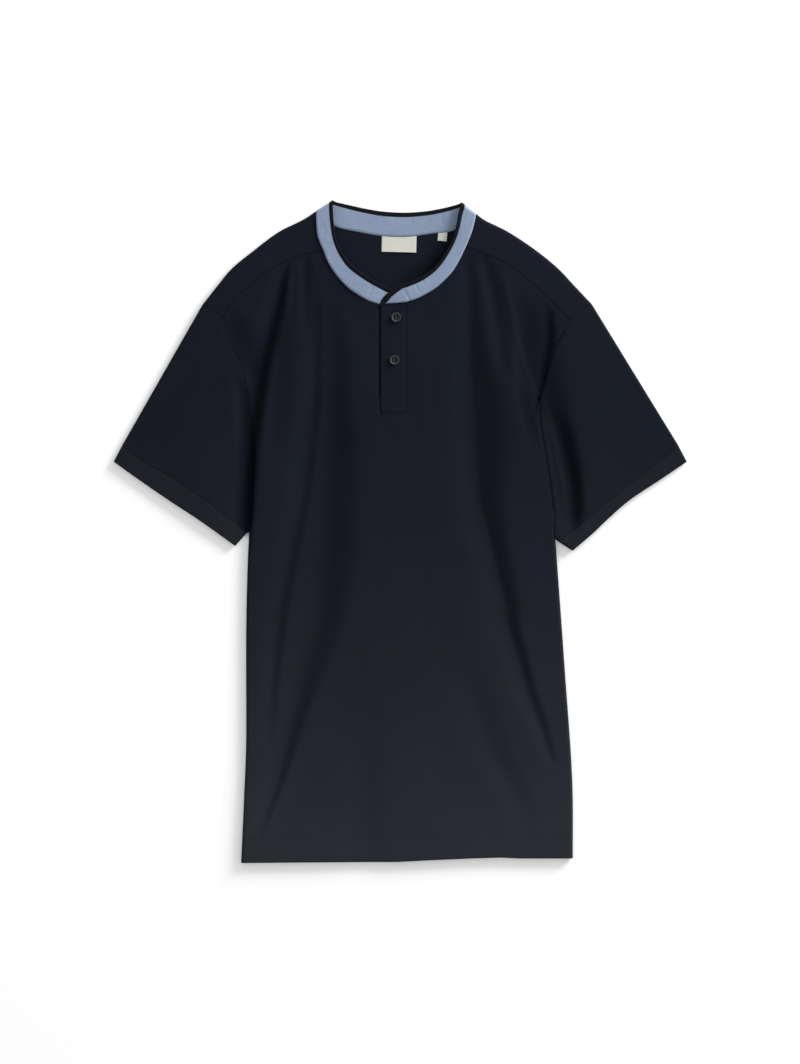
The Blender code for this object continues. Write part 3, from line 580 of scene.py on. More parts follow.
def roll(edge: Array, start: Array, span: tuple[Array, Array], depth: float,
         steps: int) -> Array:
    """Round a folded edge, from the top layer down to the bottom one.

    Args:
        edge: The plan points of the folded edge.
        start: The plan points where the flat cloth beside it starts.
        span: The heights of the bottom and of the top layer there.
        depth: How far under the outer face the points lie.
        steps: How many cells the turn has.

    Returns:
        A row of points a plan point, along the turn.
    """
    low, high = (np.broadcast_to(value, edge.shape[:-1]) for value in span)
    radius = ((high - low) / 2)[..., None]
    reach = np.linalg.norm(start - edge, axis=-1)[..., None]
    inward = (start - edge) / reach
    angle = np.pi * even(steps)
    inset = reach - (reach - depth) * np.sin(angle)
    plan = edge[..., None, :] + inward[..., None, :] * inset[..., None]
    height = low[..., None] + radius + (radius - depth) * np.cos(angle)
    return np.concatenate([plan, height[..., None]], axis=-1)


# --- meshes

class Wall:
    """A cloth wall that is gathered from pairs of grids and closed at its edges."""

    def __init__(self, name: str, turned: bool = False, closed: bool = False) -> None:
        """Start a wall; turned swaps its winding and closed joins each row's ends."""
        self.name = name
        self.turned = turned
        self.closed = closed
        self.grids: list[tuple[Array, Array, Array]] = []

    def add(self, outer: Array, inner: Array, pattern: Array | None = None) -> None:
        """Add one grid.

        Args:
            outer: The points of the outer face, in rows.
            inner: The points of the inner face, in the same rows.
            pattern: The place of each point in the cloth, where it isn't measured.
        """
        if pattern is None:
            pattern = self.measured(outer)
        self.grids.append((outer, inner, pattern))

    @staticmethod
    def measured(grid: Array) -> Array:
        """Places in the cloth, measured along the rows and columns of a grid."""
        across = np.linalg.norm(np.diff(grid, axis=1), axis=-1)
        up = np.linalg.norm(np.diff(grid, axis=0), axis=-1)
        u = np.concatenate([np.zeros((grid.shape[0], 1)), np.cumsum(across, 1)], 1)
        v = np.concatenate([np.zeros((1, grid.shape[1])), np.cumsum(up, 0)], 0)
        return np.stack([u, v], axis=-1)

    def cells(self, numbers: list[Array]) -> tuple[list[tuple], list[Array]]:
        """Join the points of each grid into faces.

        Args:
            numbers: The vertex number of each point of each grid.

        Returns:
            The faces, and the place in the cloth of each of their corners.
        """
        faces, places = [], []
        for index, (outer, _, pattern) in zip(numbers, self.grids):
            if self.closed:
                step = np.linalg.norm(outer[:, :1] - outer[:, -1:], axis=-1)
                last = pattern[:, -1:] + np.stack([step, np.zeros_like(step)], -1)
                index = np.concatenate([index, index[:, :1]], 1)
                pattern = np.concatenate([pattern, last], 1)
            corners = (slice(None, -1), slice(None, -1)), (slice(None, -1), slice(1, None))
            corners += (slice(1, None), slice(1, None)), (slice(1, None), slice(None, -1))
            quads = np.stack([index[where] for where in corners], -1).reshape(-1, 4)
            where = np.stack([pattern[where] for where in corners], -2).reshape(-1, 4, 2)
            if self.turned:
                quads, where = quads[:, ::-1], where[:, ::-1]
            for quad, place in zip(quads.tolist(), where):
                keep = [i for i in range(4) if quad[i] != quad[i - 1]]
                if len(keep) > 2:
                    faces.append(tuple(quad[i] for i in keep))
                    places.append(place[keep])
        return faces, places

    def build(self) -> Piece:
        """Make the wall's object.

        Returns:
            The object, linked to the scene, with the pattern as its UV map.
        """
        outer = np.vstack([grid[0].reshape(-1, 3) for grid in self.grids]) + 0.0
        inner = np.vstack([grid[1].reshape(-1, 3) for grid in self.grids])
        pattern = np.vstack([grid[2].reshape(-1, 2) for grid in self.grids])
        _, first, number = np.unique(np.round(outer, 3) + 0.0, axis=0,
                                     return_index=True, return_inverse=True)
        number = number.reshape(-1)
        numbers, start = [], 0
        for grid in self.grids:
            shape = grid[0].shape[:2]
            numbers.append(number[start:start + shape[0] * shape[1]].reshape(shape))
            start += shape[0] * shape[1]
        faces, places = self.cells(numbers)
        edges = {(a, b) for face in faces for a, b in zip(face, face[1:] + face[:1])}
        count = len(first)
        rims = [(b, a, a + count, b + count) for a, b in sorted(edges)
                if (b, a) not in edges]
        insides = [tuple(i + count for i in reversed(face)) for face in faces]
        corner = pattern[first]
        rim_places = [corner[[b, a, a, b]] for b, a, _, _ in rims]
        places = places + [place[::-1] for place in places] + rim_places
        points = np.vstack([outer[first], inner[first]]) * MM
        return mesh_object(self.name, points, faces + insides + rims,
                           np.vstack(places) * MM)


def mesh_object(name: str, points: Array, faces: list[tuple],
                places: Array | None = None) -> Piece:
    """Make an object from points and faces.

    Args:
        name: The object's name.
        points: Its vertices, in metres.
        faces: The vertex numbers of each face.
        places: The UV place of each corner of each face.

    Returns:
        The object, linked to the scene.
    """
    mesh = bpy.data.meshes.new(name)
    mesh.from_pydata(points.tolist(), [], faces)
    if places is not None:
        mesh.uv_layers.new(name="cloth").data.foreach_set("uv", places.ravel())
    mesh.validate()
    mesh.shade_smooth()
    mesh.set_sharp_from_angle(angle=math.radians(50))
    piece = bpy.data.objects.new(name, mesh)
    bpy.context.scene.collection.objects.link(piece)
    return piece


def tube(name: str, sections: Array, turned: bool) -> Piece:
    """Loft closed sections into one closed tube.

    Args:
        name: The object's name.
        sections: The points of each section, in millimetres.
        turned: Whether its winding is swapped.

    Returns:
        The tube, with lengths along and round it as its UV map.
    """
    rows, count = sections.shape[:2]
    pattern = Wall.measured(np.concatenate([sections, sections[:, :1]], axis=1))
    corners = ((0, 0), (0, 1), (1, 1), (1, 0))
    faces, places = [], []
    for row, place in product(range(rows - 1), range(count)):
        faces.append(tuple((row + i) * count + (place + j) % count for i, j in corners))
        places.append(np.array([pattern[row + i, place + j] for i, j in corners]))
    faces.append(tuple(reversed(range(count))))
    faces.append(tuple(range((rows - 1) * count, rows * count)))
    places += [pattern[0, :count][::-1], pattern[-1, :count]]
    if turned:
        faces = [face[::-1] for face in faces]
        places = [place[::-1] for place in places]
    return mesh_object(name, sections.reshape(-1, 3) * MM, faces, np.vstack(places) * MM)


# --- the shirt

@dataclass
class Notch:
    """The cut in the front that the placket fills."""

    left: float = -21.7
    right: float = 7.1
    bottom: float = 135.0
    # The open side: how far the shadow lies from the cut, and where it closes.
    open_offset: float = 1.7
    closed_below: float = 18.0
    close_lean: float = 0.8
    # How far over its foot the groove on the closed side starts.
    closed_start: float = 1.8


@dataclass
class Body:
    """The front and the back of the shirt."""

    lie: Lie
    notch: Notch
    turned_under: float = 25.0
    turn_taper: float = 100.0
    # The least hollow inside a curled edge.
    hollow: float = 0.1
    # How far the back's hem lies inside the front's.
    back_inset: float = 1.2
    hidden_gap: float = 0.3
    # The floor layer laps outwards under the armhole seam, less at its ends.
    lap: float = 1.2
    lap_ends: float = 12.0
    hem_anchors: Pair = (-95.0, 86.0)
    middle_anchors: Pair = (-90.0, 79.0)
    turn_shares: Numbers = (0.0, 0.03, 0.06, 0.09, 0.12, 0.15, 0.18, 0.21,
                                      0.24, 0.27, 0.30, 0.47, 0.65, 0.82, 1.0)
    roll_steps: int = 10
    front_side: Cells = (44, 90.0)
    front_neck: Cells = (27, 68.0)
    front_low: Cells = (96, 483.0)
    front_high: Cells = (84, 190.0)
    front_middle: int = 10
    # Rows about the top of the turned hem, by their distance from it.
    hem_rows: Numbers = (-2.4, -1.2, -0.5, 0.1, 0.7, 1.5, 2.6)
    back_side: Cells = (38, 165.0)
    back_middle: int = 44
    back_low: int = 24
    back_high: int = 44
    over_shoulder: Cells = (16, 45.0)

    def edge_of(self, side: SideOutline, rows: Array) -> Array:
        """Folded edge of the body from the hem up to the armhole."""
        return curve(side.body_edge, 1 - rows)

    def under_length(self, side: SideOutline, edge: Array) -> Array:
        """How much cloth curls round the body's edge at each of its points."""
        full = math.pi * self.lie.front_top / 2 + self.turned_under
        return full * np.minimum(1, (side.body_edge[0][1] - edge[:, 1]) / self.turn_taper)

    def curl(self, side: SideOutline, edge: Array, depth: float) -> Array:
        """Curl the cloth round the body's edge and under the body.

        Args:
            side: The side of the shirt.
            edge: The plan points of the folded edge.
            depth: How far under the outer face the points lie.

        Returns:
            One row of points an edge point, from the top of the edge inwards.
        """
        radius = self.lie.height(edge)[:, None] / 2
        radius = np.maximum(radius, WALL + self.hollow)
        length = self.under_length(side, edge)[:, None]
        crown = radius * np.sin(np.minimum(length / radius, math.pi / 2))
        run = length * np.array(self.turn_shares)
        angle = np.minimum(run / radius, math.pi)
        inset = crown - (radius - depth) * np.sin(angle)
        inset = inset + np.maximum(0, run - math.pi * radius)
        x = edge[:, :1] + side.inward * inset
        y = np.broadcast_to(edge[:, 1:], x.shape)
        return np.stack([x, y, radius + (radius - depth) * np.cos(angle)], axis=-1)

    def front_zones(self) -> list[Array]:
        """Shares of the five stretches across the front, from left to right."""
        side = graded(*self.front_side, True, False)
        neck = graded(*self.front_neck, False, True)
        return [side, neck, even(self.front_middle), 1 - neck[::-1], 1 - side[::-1]]

    def front_rows(self) -> tuple[Array, Array]:
        """Shares of the rows under and over the line through the underarms."""
        near_line = (self.lie.hem_width + np.array(self.hem_rows)) / self.front_low[1]
        lower = np.union1d(graded(*self.front_low, True, False), near_line)
        return lower, graded(*self.front_high, True, True)

    def front(self) -> Piece:
        """Make the front panel: the body, both sides of the neck and the curled edges."""
        zones = self.front_zones()
        lower_rows, upper_rows = self.front_rows()
        notch = self.notch
        fades = side_fades(zones)
        edges = [self.edge_of(side, lower_rows) for side in SIDES]
        tops = [self.curl(side, edge, 0.0)[:, 0, :2] for side, edge in zip(SIDES, edges)]
        anchors = [tops[0][0], (self.hem_anchors[0], 0), (notch.left, 0),
                   (notch.right, 0), (self.hem_anchors[1], 0), tops[1][0]]
        hem = between(anchors, zones)
        hem[:, 1] = height_on(HEM, hem[:, 0])
        low = [LEFT.body_edge[0], (notch.left, notch.bottom),
               (notch.right, notch.bottom), RIGHT.body_edge[0]]
        xs = [low[0][0], self.middle_anchors[0], notch.left, notch.right,
              self.middle_anchors[1], low[-1][0]]
        middle = between(np.stack([xs, height_on(low, np.array(xs))], axis=1), zones)
        top = self.front_top_edge(zones)
        lower = patch((hem, middle, *tops), lower_rows, fades)
        arms = [curve(side.armhole, 1 - upper_rows) for side in SIDES]
        upper = patch((middle, top, *arms), upper_rows, fades)
        first = len(zones[0]) + len(zones[1]) - 2
        last = first + len(zones[2]) - 1
        wall = Wall("front_panel_cloth")
        faces = []
        for depth in (0.0, WALL):
            curls = [self.curl(side, edge, depth) for side, edge in zip(SIDES, edges)]
            body = self.lie.top(lower, depth)
            body[:, 0], body[:, -1] = curls[0][:, 0], curls[1][:, 0]
            neck = self.lie.top(upper, depth)
            neck[0] = body[-1]
            faces.append([body, neck[:, :first + 1], neck[:, last:],
                          curls[0][:, ::-1], curls[1]])
        for outer, inner in zip(*faces):
            wall.add(outer, inner, outer[..., :2])
        return wall.build()

    def front_top_edge(self, zones: list[Array]) -> Array:
        """The front's upper edge: shoulder seams, neck seams and placket top."""
        shoulder, neck = zones[0], zones[1]
        corners = [LEFT.neck_seam[-1], RIGHT.neck_seam[-1]]
        parts = [curve(LEFT.forward_seam, shoulder), curve(LEFT.neck_seam, neck)[1:],
                 between(corners, [zones[2]])[1:-1],
                 curve(RIGHT.neck_seam, neck)[::-1][:-1],
                 curve(RIGHT.forward_seam, shoulder)[::-1]]
        return np.vstack(parts) + np.array([0.0, -SEAM_GAP / 2])

    def back_edge(self, side: SideOutline, rows: Array) -> Array:
        """Side edge of the back, beside the front's turned edge."""
        edge = self.edge_of(side, rows)
        radius = self.lie.height(edge) / 2
        over = np.maximum(0, self.under_length(side, edge) - math.pi * radius)
        line = edge.copy()
        line[:, 0] += side.inward * (radius + over + self.hidden_gap)
        share = self.back_inset / (line[1, 1] - line[0, 1])
        line[0] += (line[1] - line[0]) * share
        return line

    def shoulder_fold(self, side: SideOutline, shares: Array) -> tuple[Array, Array]:
        """The shoulder's folded edge, and where the flat cloth beside it starts."""
        edge = curve(side.shoulder, shares)
        reach = self.lie.front_top / 2
        first = inside_start(side.cap, reach)[0] - edge[0]
        last = inside_start(side.shoulder_neck, reach)[0] - edge[-1]
        inward = first + (last - first) * shares[:, None]
        inward /= norms(inward)
        return edge, edge + inward * reach

    def back(self) -> Piece:
        """Make the back panel: its floor layer and the shoulders that come forward."""
        shoulder = graded(*self.back_side, True, True)
        zones = [shoulder, even(self.back_middle), 1 - shoulder[::-1]]
        fades = side_fades(zones)
        lower_rows, upper_rows = even(self.back_low), even(self.back_high)
        sides = [self.back_edge(side, lower_rows) for side in SIDES]
        hem = between([sides[0][0], (self.hem_anchors[0], 0), (self.hem_anchors[1], 0),
                       sides[1][0]], zones)
        hem[:, 1] = height_on(HEM, hem[:, 0]) + self.back_inset
        for edge, end in zip(sides, (0, -1)):
            edge[0] = hem[end]
        line = self.notch.bottom
        middle = between([sides[0][-1], (self.middle_anchors[0], line),
                          (self.middle_anchors[1], line), sides[1][-1]], zones)
        folds = [self.shoulder_fold(side, shoulder) for side in SIDES]
        neck = curve(BACK_NECK_SEAM, zones[1])
        top = np.vstack([folds[0][1], neck[1:-1], folds[1][1][::-1]])
        arms = []
        for side, edge in zip(SIDES, sides):
            cap = smooth_line(inside_start(side.cap, self.lie.front_top / 2))
            arm = np.vstack([edge[-1:], smooth_line(side.armhole)[::-1][1:], cap[::-1][1:]])
            arm = along(arm, upper_rows)
            ends = np.minimum(1, self.lap_ends * np.minimum(upper_rows, 1 - upper_rows))
            arm[:, 0] -= side.inward * self.lap * ends
            arms.append(arm)
        lower = patch((hem, middle, *sides), lower_rows, fades)
        upper = patch((middle, top, *arms), upper_rows, fades)
        whole = np.concatenate([lower, upper[1:]])
        wall = Wall("back_panel_cloth", turned=True)
        wall.add(floor_layer(whole, 0.0), floor_layer(whole, WALL), whole)
        for side, (edge, flat) in zip(SIDES, folds):
            self.add_shoulder(wall, side, edge, flat, shoulder)
        return wall.build()

    def add_shoulder(self, wall: Wall, side: SideOutline, edge: Array, flat: Array,
                     shoulder: Array) -> None:
        """Add the part of the back that comes over the shoulder to the front.

        Args:
            wall: The wall of the back panel.
            side: The side of the shirt.
            edge: The folded edge of the shoulder.
            flat: Where the flat cloth beside it starts.
            shoulder: The shares of its columns.
        """
        rows = graded(*self.over_shoulder, False, True)
        reach = self.lie.front_top / 2
        seam = towards(curve(side.forward_seam, shoulder), flat, SEAM_GAP)
        cap = curve(inside_start(side.cap, reach), rows)
        neck = curve(inside_start(side.shoulder_neck, reach), rows)
        cap[-1], neck[-1] = seam[0], seam[-1]
        over = patch((flat, seam, cap, neck), rows, (1 - shoulder, shoulder))
        high = self.lie.height(flat)
        faces = []
        for depth in (0.0, WALL):
            turn = roll(edge, flat, (np.zeros_like(high), high), depth, self.roll_steps)
            turn = turn[:, ::-1].transpose(1, 0, 2)
            grid = np.concatenate([turn, self.lie.top(over[1:], depth)])
            faces.append(grid if side is LEFT else grid[:, ::-1])
        length = np.linalg.norm(np.diff(faces[0], axis=0), axis=-1).mean(axis=1)
        pattern = faces[0][..., :2].copy()
        start = float(flat[:, 1].mean())
        pattern[..., 1] = start + np.concatenate([[0.0], np.cumsum(length)])[:, None]
        wall.add(*faces, pattern)


def inside_start(points: Points, distance: float) -> Array:
    """A curve whose first point is moved along it, clear of a folded edge."""
    line = np.asarray(points, dtype=float).copy()
    line[0] = towards(line[0], line[1], distance)
    return line


@dataclass
class Sleeve:
    """One short sleeve and its cuff band, both pressed flat."""

    lie: Lie
    side: SideOutline
    # The share of its length by which the floor layer starts beyond the armhole.
    lap: float = 0.016
    roll_steps: int = 10
    around: Cells = (112, 260.0)
    down: Cells = (50, 120.0)
    cuff_down: Cells = (10, 22.0)

    def armhole_line(self) -> Array:
        """The line from the sleeve head round the armhole and down the body."""
        side = self.side
        body = smooth_line(side.body_edge)
        above = body[body[:, 1] > side.underarm]
        reach = self.lie.front_top / 2
        return np.vstack([smooth_line(inside_start(side.cap, reach)),
                          smooth_line(side.armhole)[1:], above[1:], [self.underarm()]])

    def underarm(self) -> Array:
        """The lower corner of the sleeve, on the body's folded edge."""
        body = smooth_line(self.side.body_edge)
        x = np.interp(self.side.underarm, body[::-1, 1], body[::-1, 0])
        return np.array([x, self.side.underarm])

    def inner_end(self) -> Array:
        """Plan points of the armhole end: fold, flat cloth, fold."""
        line = self.armhole_line()
        reach = lengths(line)
        used = 1 - self.lie.front_top / 2 / reach[-1]
        shares = graded(*self.around, True, False) * used
        corner = np.argmin(np.linalg.norm(line - self.side.armhole[0], axis=1))
        shares[np.argmin(np.abs(shares - reach[corner] / reach[-1]))] = (
            reach[corner] / reach[-1])
        flat = along(line, shares)
        return np.vstack([[self.side.cap[0]], flat, line[-1:]])

    def band_end(self, points: Points) -> Array:
        """Plan points of an end of the cuff: fold, flat cloth, fold."""
        line = smooth_line(points)
        reach = self.lie.cuff_top / 2 / lengths(line)[-1]
        shares = reach + graded(*self.around, True, False) * (1 - 2 * reach)
        return np.vstack([line[:1], along(line, shares), line[-1:]])

    def flat_tube(self, name: str, inner: Array, outer: Array, shares: Array,
                  lap: float = 0.0) -> Piece:
        """Loft a tube that is pressed flat.

        Args:
            name: The object's name.
            inner: Plan points of its first end: fold, flat cloth, fold.
            outer: Plan points of its second end, as many.
            shares: The shares of its stations between them.
            lap: The share by which its floor layer starts beyond its first end.

        Returns:
            The tube as a closed wall.
        """
        line = inner[None] + (outer - inner)[None] * shares[:, None, None]
        flat, faces = line[:, 1:-1], []
        high = self.lie.height(flat)
        zero, fade = np.zeros(len(shares)), np.linspace(1, 0, len(shares))
        behind = flat + (flat[-1:] - flat) * lap * fade[:, None, None]
        under = behind[:, 1:-1][:, ::-1]
        for depth in (0.0, WALL):
            first, last = (roll(line[:, end], flat[:, end], (zero, high[:, end]), depth,
                                self.roll_steps) for end in (0, -1))
            faces.append(np.concatenate([self.lie.top(flat, depth), last[:, 1:],
                                         floor_layer(under, depth), first[:, ::-1]],
                                        axis=1))
        wall = Wall(name, turned=self.side is LEFT, closed=True)
        wall.add(*faces)
        return wall.build()

    def sleeve(self) -> Piece:
        """Make the sleeve, from the armhole to the cuff seam."""
        outer = self.band_end(self.side.cuff_seam)
        inner = towards(self.inner_end(), outer, SEAM_GAP)
        return self.flat_tube("sleeve_%s_cloth" % self.side.name, inner, outer,
                              graded(*self.down, True, True), self.lap)

    def cuff(self) -> Piece:
        """Make the cuff band beyond the sleeve."""
        seam = self.band_end(self.side.cuff_seam)
        edge = self.band_end(self.side.cuff_edge)
        return self.flat_tube("cuff_%s_cloth" % self.side.name,
                              towards(seam, edge, SEAM_GAP), edge,
                              graded(*self.cuff_down, True, True))


@dataclass
class Collar:
    """The standing band and the tipping along its free edge."""

    lie: Lie
    notch: Notch
    rise: float = 2.5
    lift_behind: float = 1.0
    crown: float = 0.08
    lip: float = 0.15
    least_share: float = 0.5
    climb_power: int = 48
    tipping: float = 5.0
    right_lift: float = 0.7
    left_drop: float = 1.6
    blend: float = 26.0
    fineness: int = 12
    across: Cells = (9, 16.0)
    lip_widths: Pair = (0.9, 0.7)
    full_crown_width: float = 12.0
    most_gap_share: float = 0.3
    # The tipping's section: distances from the free edge, and shares of its thickness.
    profile: Points = (
        (5.0, 0.02), (3.4, -0.06), (1.8, -0.06), (0.8, 0.02), (0.25, 0.2), (0.0, 0.5),
        (0.25, 0.8), (0.8, 0.98), (1.8, 1.06), (3.4, 1.06), (5.0, 0.98), (5.0, 0.68),
        (1.4, 0.66), (1.0, 0.5), (1.4, 0.34), (5.0, 0.32),
    )
    tipping_thick: float = 1.5
    tipping_over: float = 0.2
    # The right end as it narrows over the placket: seam, join and edge as x, y, z.
    right_end: Points = (
        (-15.6, 260.0, 7.55, -15.7, 260.5, 7.70, -22.4, 260.4, 8.10),
        (-14.0, 260.0, 7.55, -13.2, 263.3, 7.95, -20.6, 264.4, 8.50),
        (-9.5, 260.1, 7.55, -10.0, 267.0, 8.35, -16.9, 269.0, 8.90),
        (-5.5, 260.2, 7.55, -5.9, 270.5, 8.75, -11.6, 273.4, 9.30),
        (-1.0, 260.5, 7.50, -1.6, 273.7, 9.05, -5.0, 277.4, 9.60),
        (3.2, 260.9, 7.30, 3.4, 276.9, 9.25, 2.0, 281.4, 9.85),
    )
    # Where the tipping alone runs on into the placket's edge.
    tail: Points = (
        (-20.4, 255.6, 7.55, -23.2, 255.6, 7.45),
        (-18.6, 257.8, 7.60, -23.0, 257.8, 7.80),
    )
    left_end: Numbers = (-12.0, 260.0, 5.2, -4.5, 275.5, 7.0)
    # Creases across the band: ends as x, y, then half width and depth.
    creases: Points = (
        (5.2, 274.5, 11.6, 262.2, 1.3, 0.55), (17.8, 281.5, 21.3, 274.2, 1.2, 0.35),
        (26.0, 286.0, 28.5, 279.5, 1.4, 0.18), (-12.0, 270.0, -17.0, 262.0, 2.4, 0.25),
        (-30.5, 282.0, -34.5, 270.0, 2.6, 0.22), (-88.5, 338.0, -83.5, 344.5, 1.2, 0.25),
        (-86.0, 322.0, -79.5, 329.0, 1.3, 0.30), (-80.0, 312.0, -72.0, 318.5, 1.2, 0.25),
        (-20.5, 352.0, -19.0, 360.0, 1.0, 0.20), (13.0, 353.0, 13.6, 359.0, 1.0, 0.20),
        (-50.5, 356.5, -49.0, 363.0, 1.1, 0.20), (60.0, 352.0, 59.0, 366.0, 5.0, 0.35),
        (49.0, 350.0, 47.5, 364.0, 3.5, 0.22),
    )

    def front_run(self, side: SideOutline, depth: float) -> tuple[Array, Array]:
        """Seam and edge points of one front, from the shoulder to the placket."""
        fine = self.fineness
        start = inside_start(side.shoulder_neck, self.lie.front_top / 2)
        seam = np.vstack([curve(start, even(3 * fine)),
                          curve(side.neck_seam, even(8 * fine))[1:]])
        edge = curve(side.band_edge, even(11 * fine))
        if side is LEFT:
            near = 1 - (self.notch.left - seam[:, 0]) / self.blend
            drop = self.left_drop * np.maximum(0, near)
        else:
            near = 1 - (seam[:, 0] - self.notch.right) / self.blend
            drop = -self.right_lift * np.maximum(0, near)
        low = self.lie.height(seam) - drop - depth
        high = self.lie.front_top + self.rise - drop - depth
        return np.column_stack([seam, low]), np.column_stack([edge, high])

    def fold_run(self, side: SideOutline, depth: float) -> tuple[Array, Array]:
        """Seam and edge points round the fold at the shoulder, front to back."""
        start = inside_start(side.shoulder_neck, self.lie.front_top / 2)[0]
        end = 0 if side is LEFT else -1
        top = float(self.lie.height(start[None])[0])
        seam = self.turn(np.array(side.shoulder[-1]), start,
                         np.array(BACK_NECK_SEAM[end]), (0.0, top), depth)
        high = self.lie.front_top + self.rise
        edge = self.turn(np.array(side.band_tip), np.array(side.band_edge[0]),
                         np.array(BACK_NECK_EDGE[end]), (self.lift_behind, high), depth)
        return seam, edge

    def turn(self, tip: Array, above: Array, below: Array, span: Pair,
             depth: float) -> Array:
        """Turn one line of the band over its fold at the shoulder.

        Args:
            tip: The plan point of the fold.
            above: Where the line meets the fold on the front.
            below: Where it leaves the fold on the back.
            span: The heights of the back and of the front there.
            depth: How far under the outer face the points lie.

        Returns:
            The points from the front round to the back.
        """
        angle = (np.pi * even(2 * self.fineness))[:, None]
        start = above + (below - above) * (1 - np.cos(angle)) / 2
        reach = norms(start - tip)
        inset = reach * (1 - np.sin(angle)) + depth * np.sin(angle)
        plan = tip + (start - tip) / reach * inset
        radius = (span[1] - span[0]) / 2
        return np.hstack([plan, span[0] + radius + (radius - depth) * np.cos(angle)])

    def back_run(self, depth: float) -> tuple[Array, Array]:
        """Seam and edge points round the back of the neck, from right to left."""
        shares = even(14 * self.fineness)
        seam = curve(BACK_NECK_SEAM, shares)[::-1]
        edge = curve(BACK_NECK_EDGE, shares)[::-1]
        return (floor_layer(seam, depth), floor_layer(edge, self.lift_behind + depth))

    def stations(self, depth: float) -> tuple[Array, Array, Array]:
        """Seam, join and edge points of the whole collar.

        Args:
            depth: How far under the outer face the points lie.

        Returns:
            The points where the band is sewn on, where the tipping starts, and of
            the free edge, from the right end round the back to the left end.
        """
        right, left = (self.front_run(side, depth) for side in SIDES[::-1])
        right_fold, left_fold = (self.fold_run(side, depth) for side in SIDES[::-1])
        back = self.back_run(depth)
        left_end = np.array(self.left_end)
        left_end[[2, 5]] -= depth
        seam, edge = (np.vstack([
            right[i][::-1][:-1], right_fold[i], back[i][1:-1], left_fold[i][::-1],
            left[i][1:]]) for i in range(2))
        tip = even(self.fineness)[1:, None]
        seam = np.vstack([seam, seam[-1] + (left_end[:3] - seam[-1]) * tip])
        edge = np.vstack([edge, edge[-1] + (left_end[3:] - edge[-1]) * tip])
        width = norms(edge - seam)
        join = edge + (seam - edge) * self.tipping / width
        first = np.hstack([seam[:1], join[:1], edge[:1]])
        end = np.array(self.right_end)
        end[:, [2, 5, 8]] -= depth
        end = smooth_line(np.vstack([end, first]), self.fineness // 2)[:-1]
        return (np.vstack([end[:, :3], seam]), np.vstack([end[:, 3:6], join]),
                np.vstack([end[:, 6:], edge]))

    def crease(self, grid: Array) -> Array:
        """How far the creases lower the band at each point of a grid."""
        depth = np.zeros(grid.shape[:-1])
        for ax, ay, bx, by, half_width, fall in self.creases:
            away = distance_to(np.array([(ax, ay), (bx, by)]), grid[..., :2])
            depth += fall * np.exp(-2 * (away / half_width) ** 2)
        return depth

    def band(self) -> Piece:
        """Make the light band of the collar."""
        across = graded(*self.across, True, True)
        faces, sunk = [], None
        for depth in (0.0, WALL):
            seam, join, _ = self.stations(depth)
            width = norms(join - seam)
            gap = np.minimum(SEAM_GAP / width, self.most_gap_share)
            half_gap = np.minimum(SEAM_GAP / 2 / width, self.most_gap_share)
            start, end = seam + (join - seam) * gap, join + (seam - join) * half_gap
            share = across[:, None, None]
            grid = start[None] * (1 - share) + end[None] * share
            climb = 1 - (1 - share[..., 0]) ** self.climb_power
            grid[..., 2] = start[None, :, 2] + (end - start)[None, :, 2] * climb
            swell = self.crown * np.sin(np.pi * share[..., 0])
            lips = np.exp(-(share[..., 0] * width.T / self.lip_widths[0]) ** 2)
            lips = lips + np.exp(-((1 - share[..., 0]) * width.T / self.lip_widths[1]) ** 2)
            if sunk is None:
                sunk = self.crease(grid)
            grid[..., 2] += swell * np.minimum(1, width.T / self.full_crown_width) - sunk
            raised = np.clip(seam[:, 2] / self.lie.front_top, 0, 1)
            seen = raised if depth == 0.0 else 1 - raised
            grid[..., 2] -= self.lip * lips * seen
            grid[..., 2] = np.maximum(grid[..., 2], self.least_share * depth)
            faces.append(grid)
        wall = Wall("collar_band_cloth")
        wall.add(*faces)
        return wall.build()

    def tipping_piece(self) -> Piece:
        """Make the tipping: a strip that is folded over the band's free edge."""
        faces = []
        for depth in (-self.tipping_over, self.tipping_thick - self.tipping_over):
            _, join, edge = self.stations(depth)
            tail = np.array(self.tail)
            tail[:, [2, 5]] -= depth
            rows = np.vstack([tail, np.hstack([join, edge])[:1]])
            rows = smooth_line(rows, self.fineness // 2)[:-1]
            faces.append((np.vstack([rows[:, :3], join]), np.vstack([rows[:, 3:], edge])))
        sections = []
        for back, through in self.profile:
            points = [edge + (join - edge) * back / self.tipping for join, edge in faces]
            sections.append(points[0] * (1 - through) + points[1] * through)
        return tube("collar_tipping_cloth", np.stack(sections, axis=1), True)


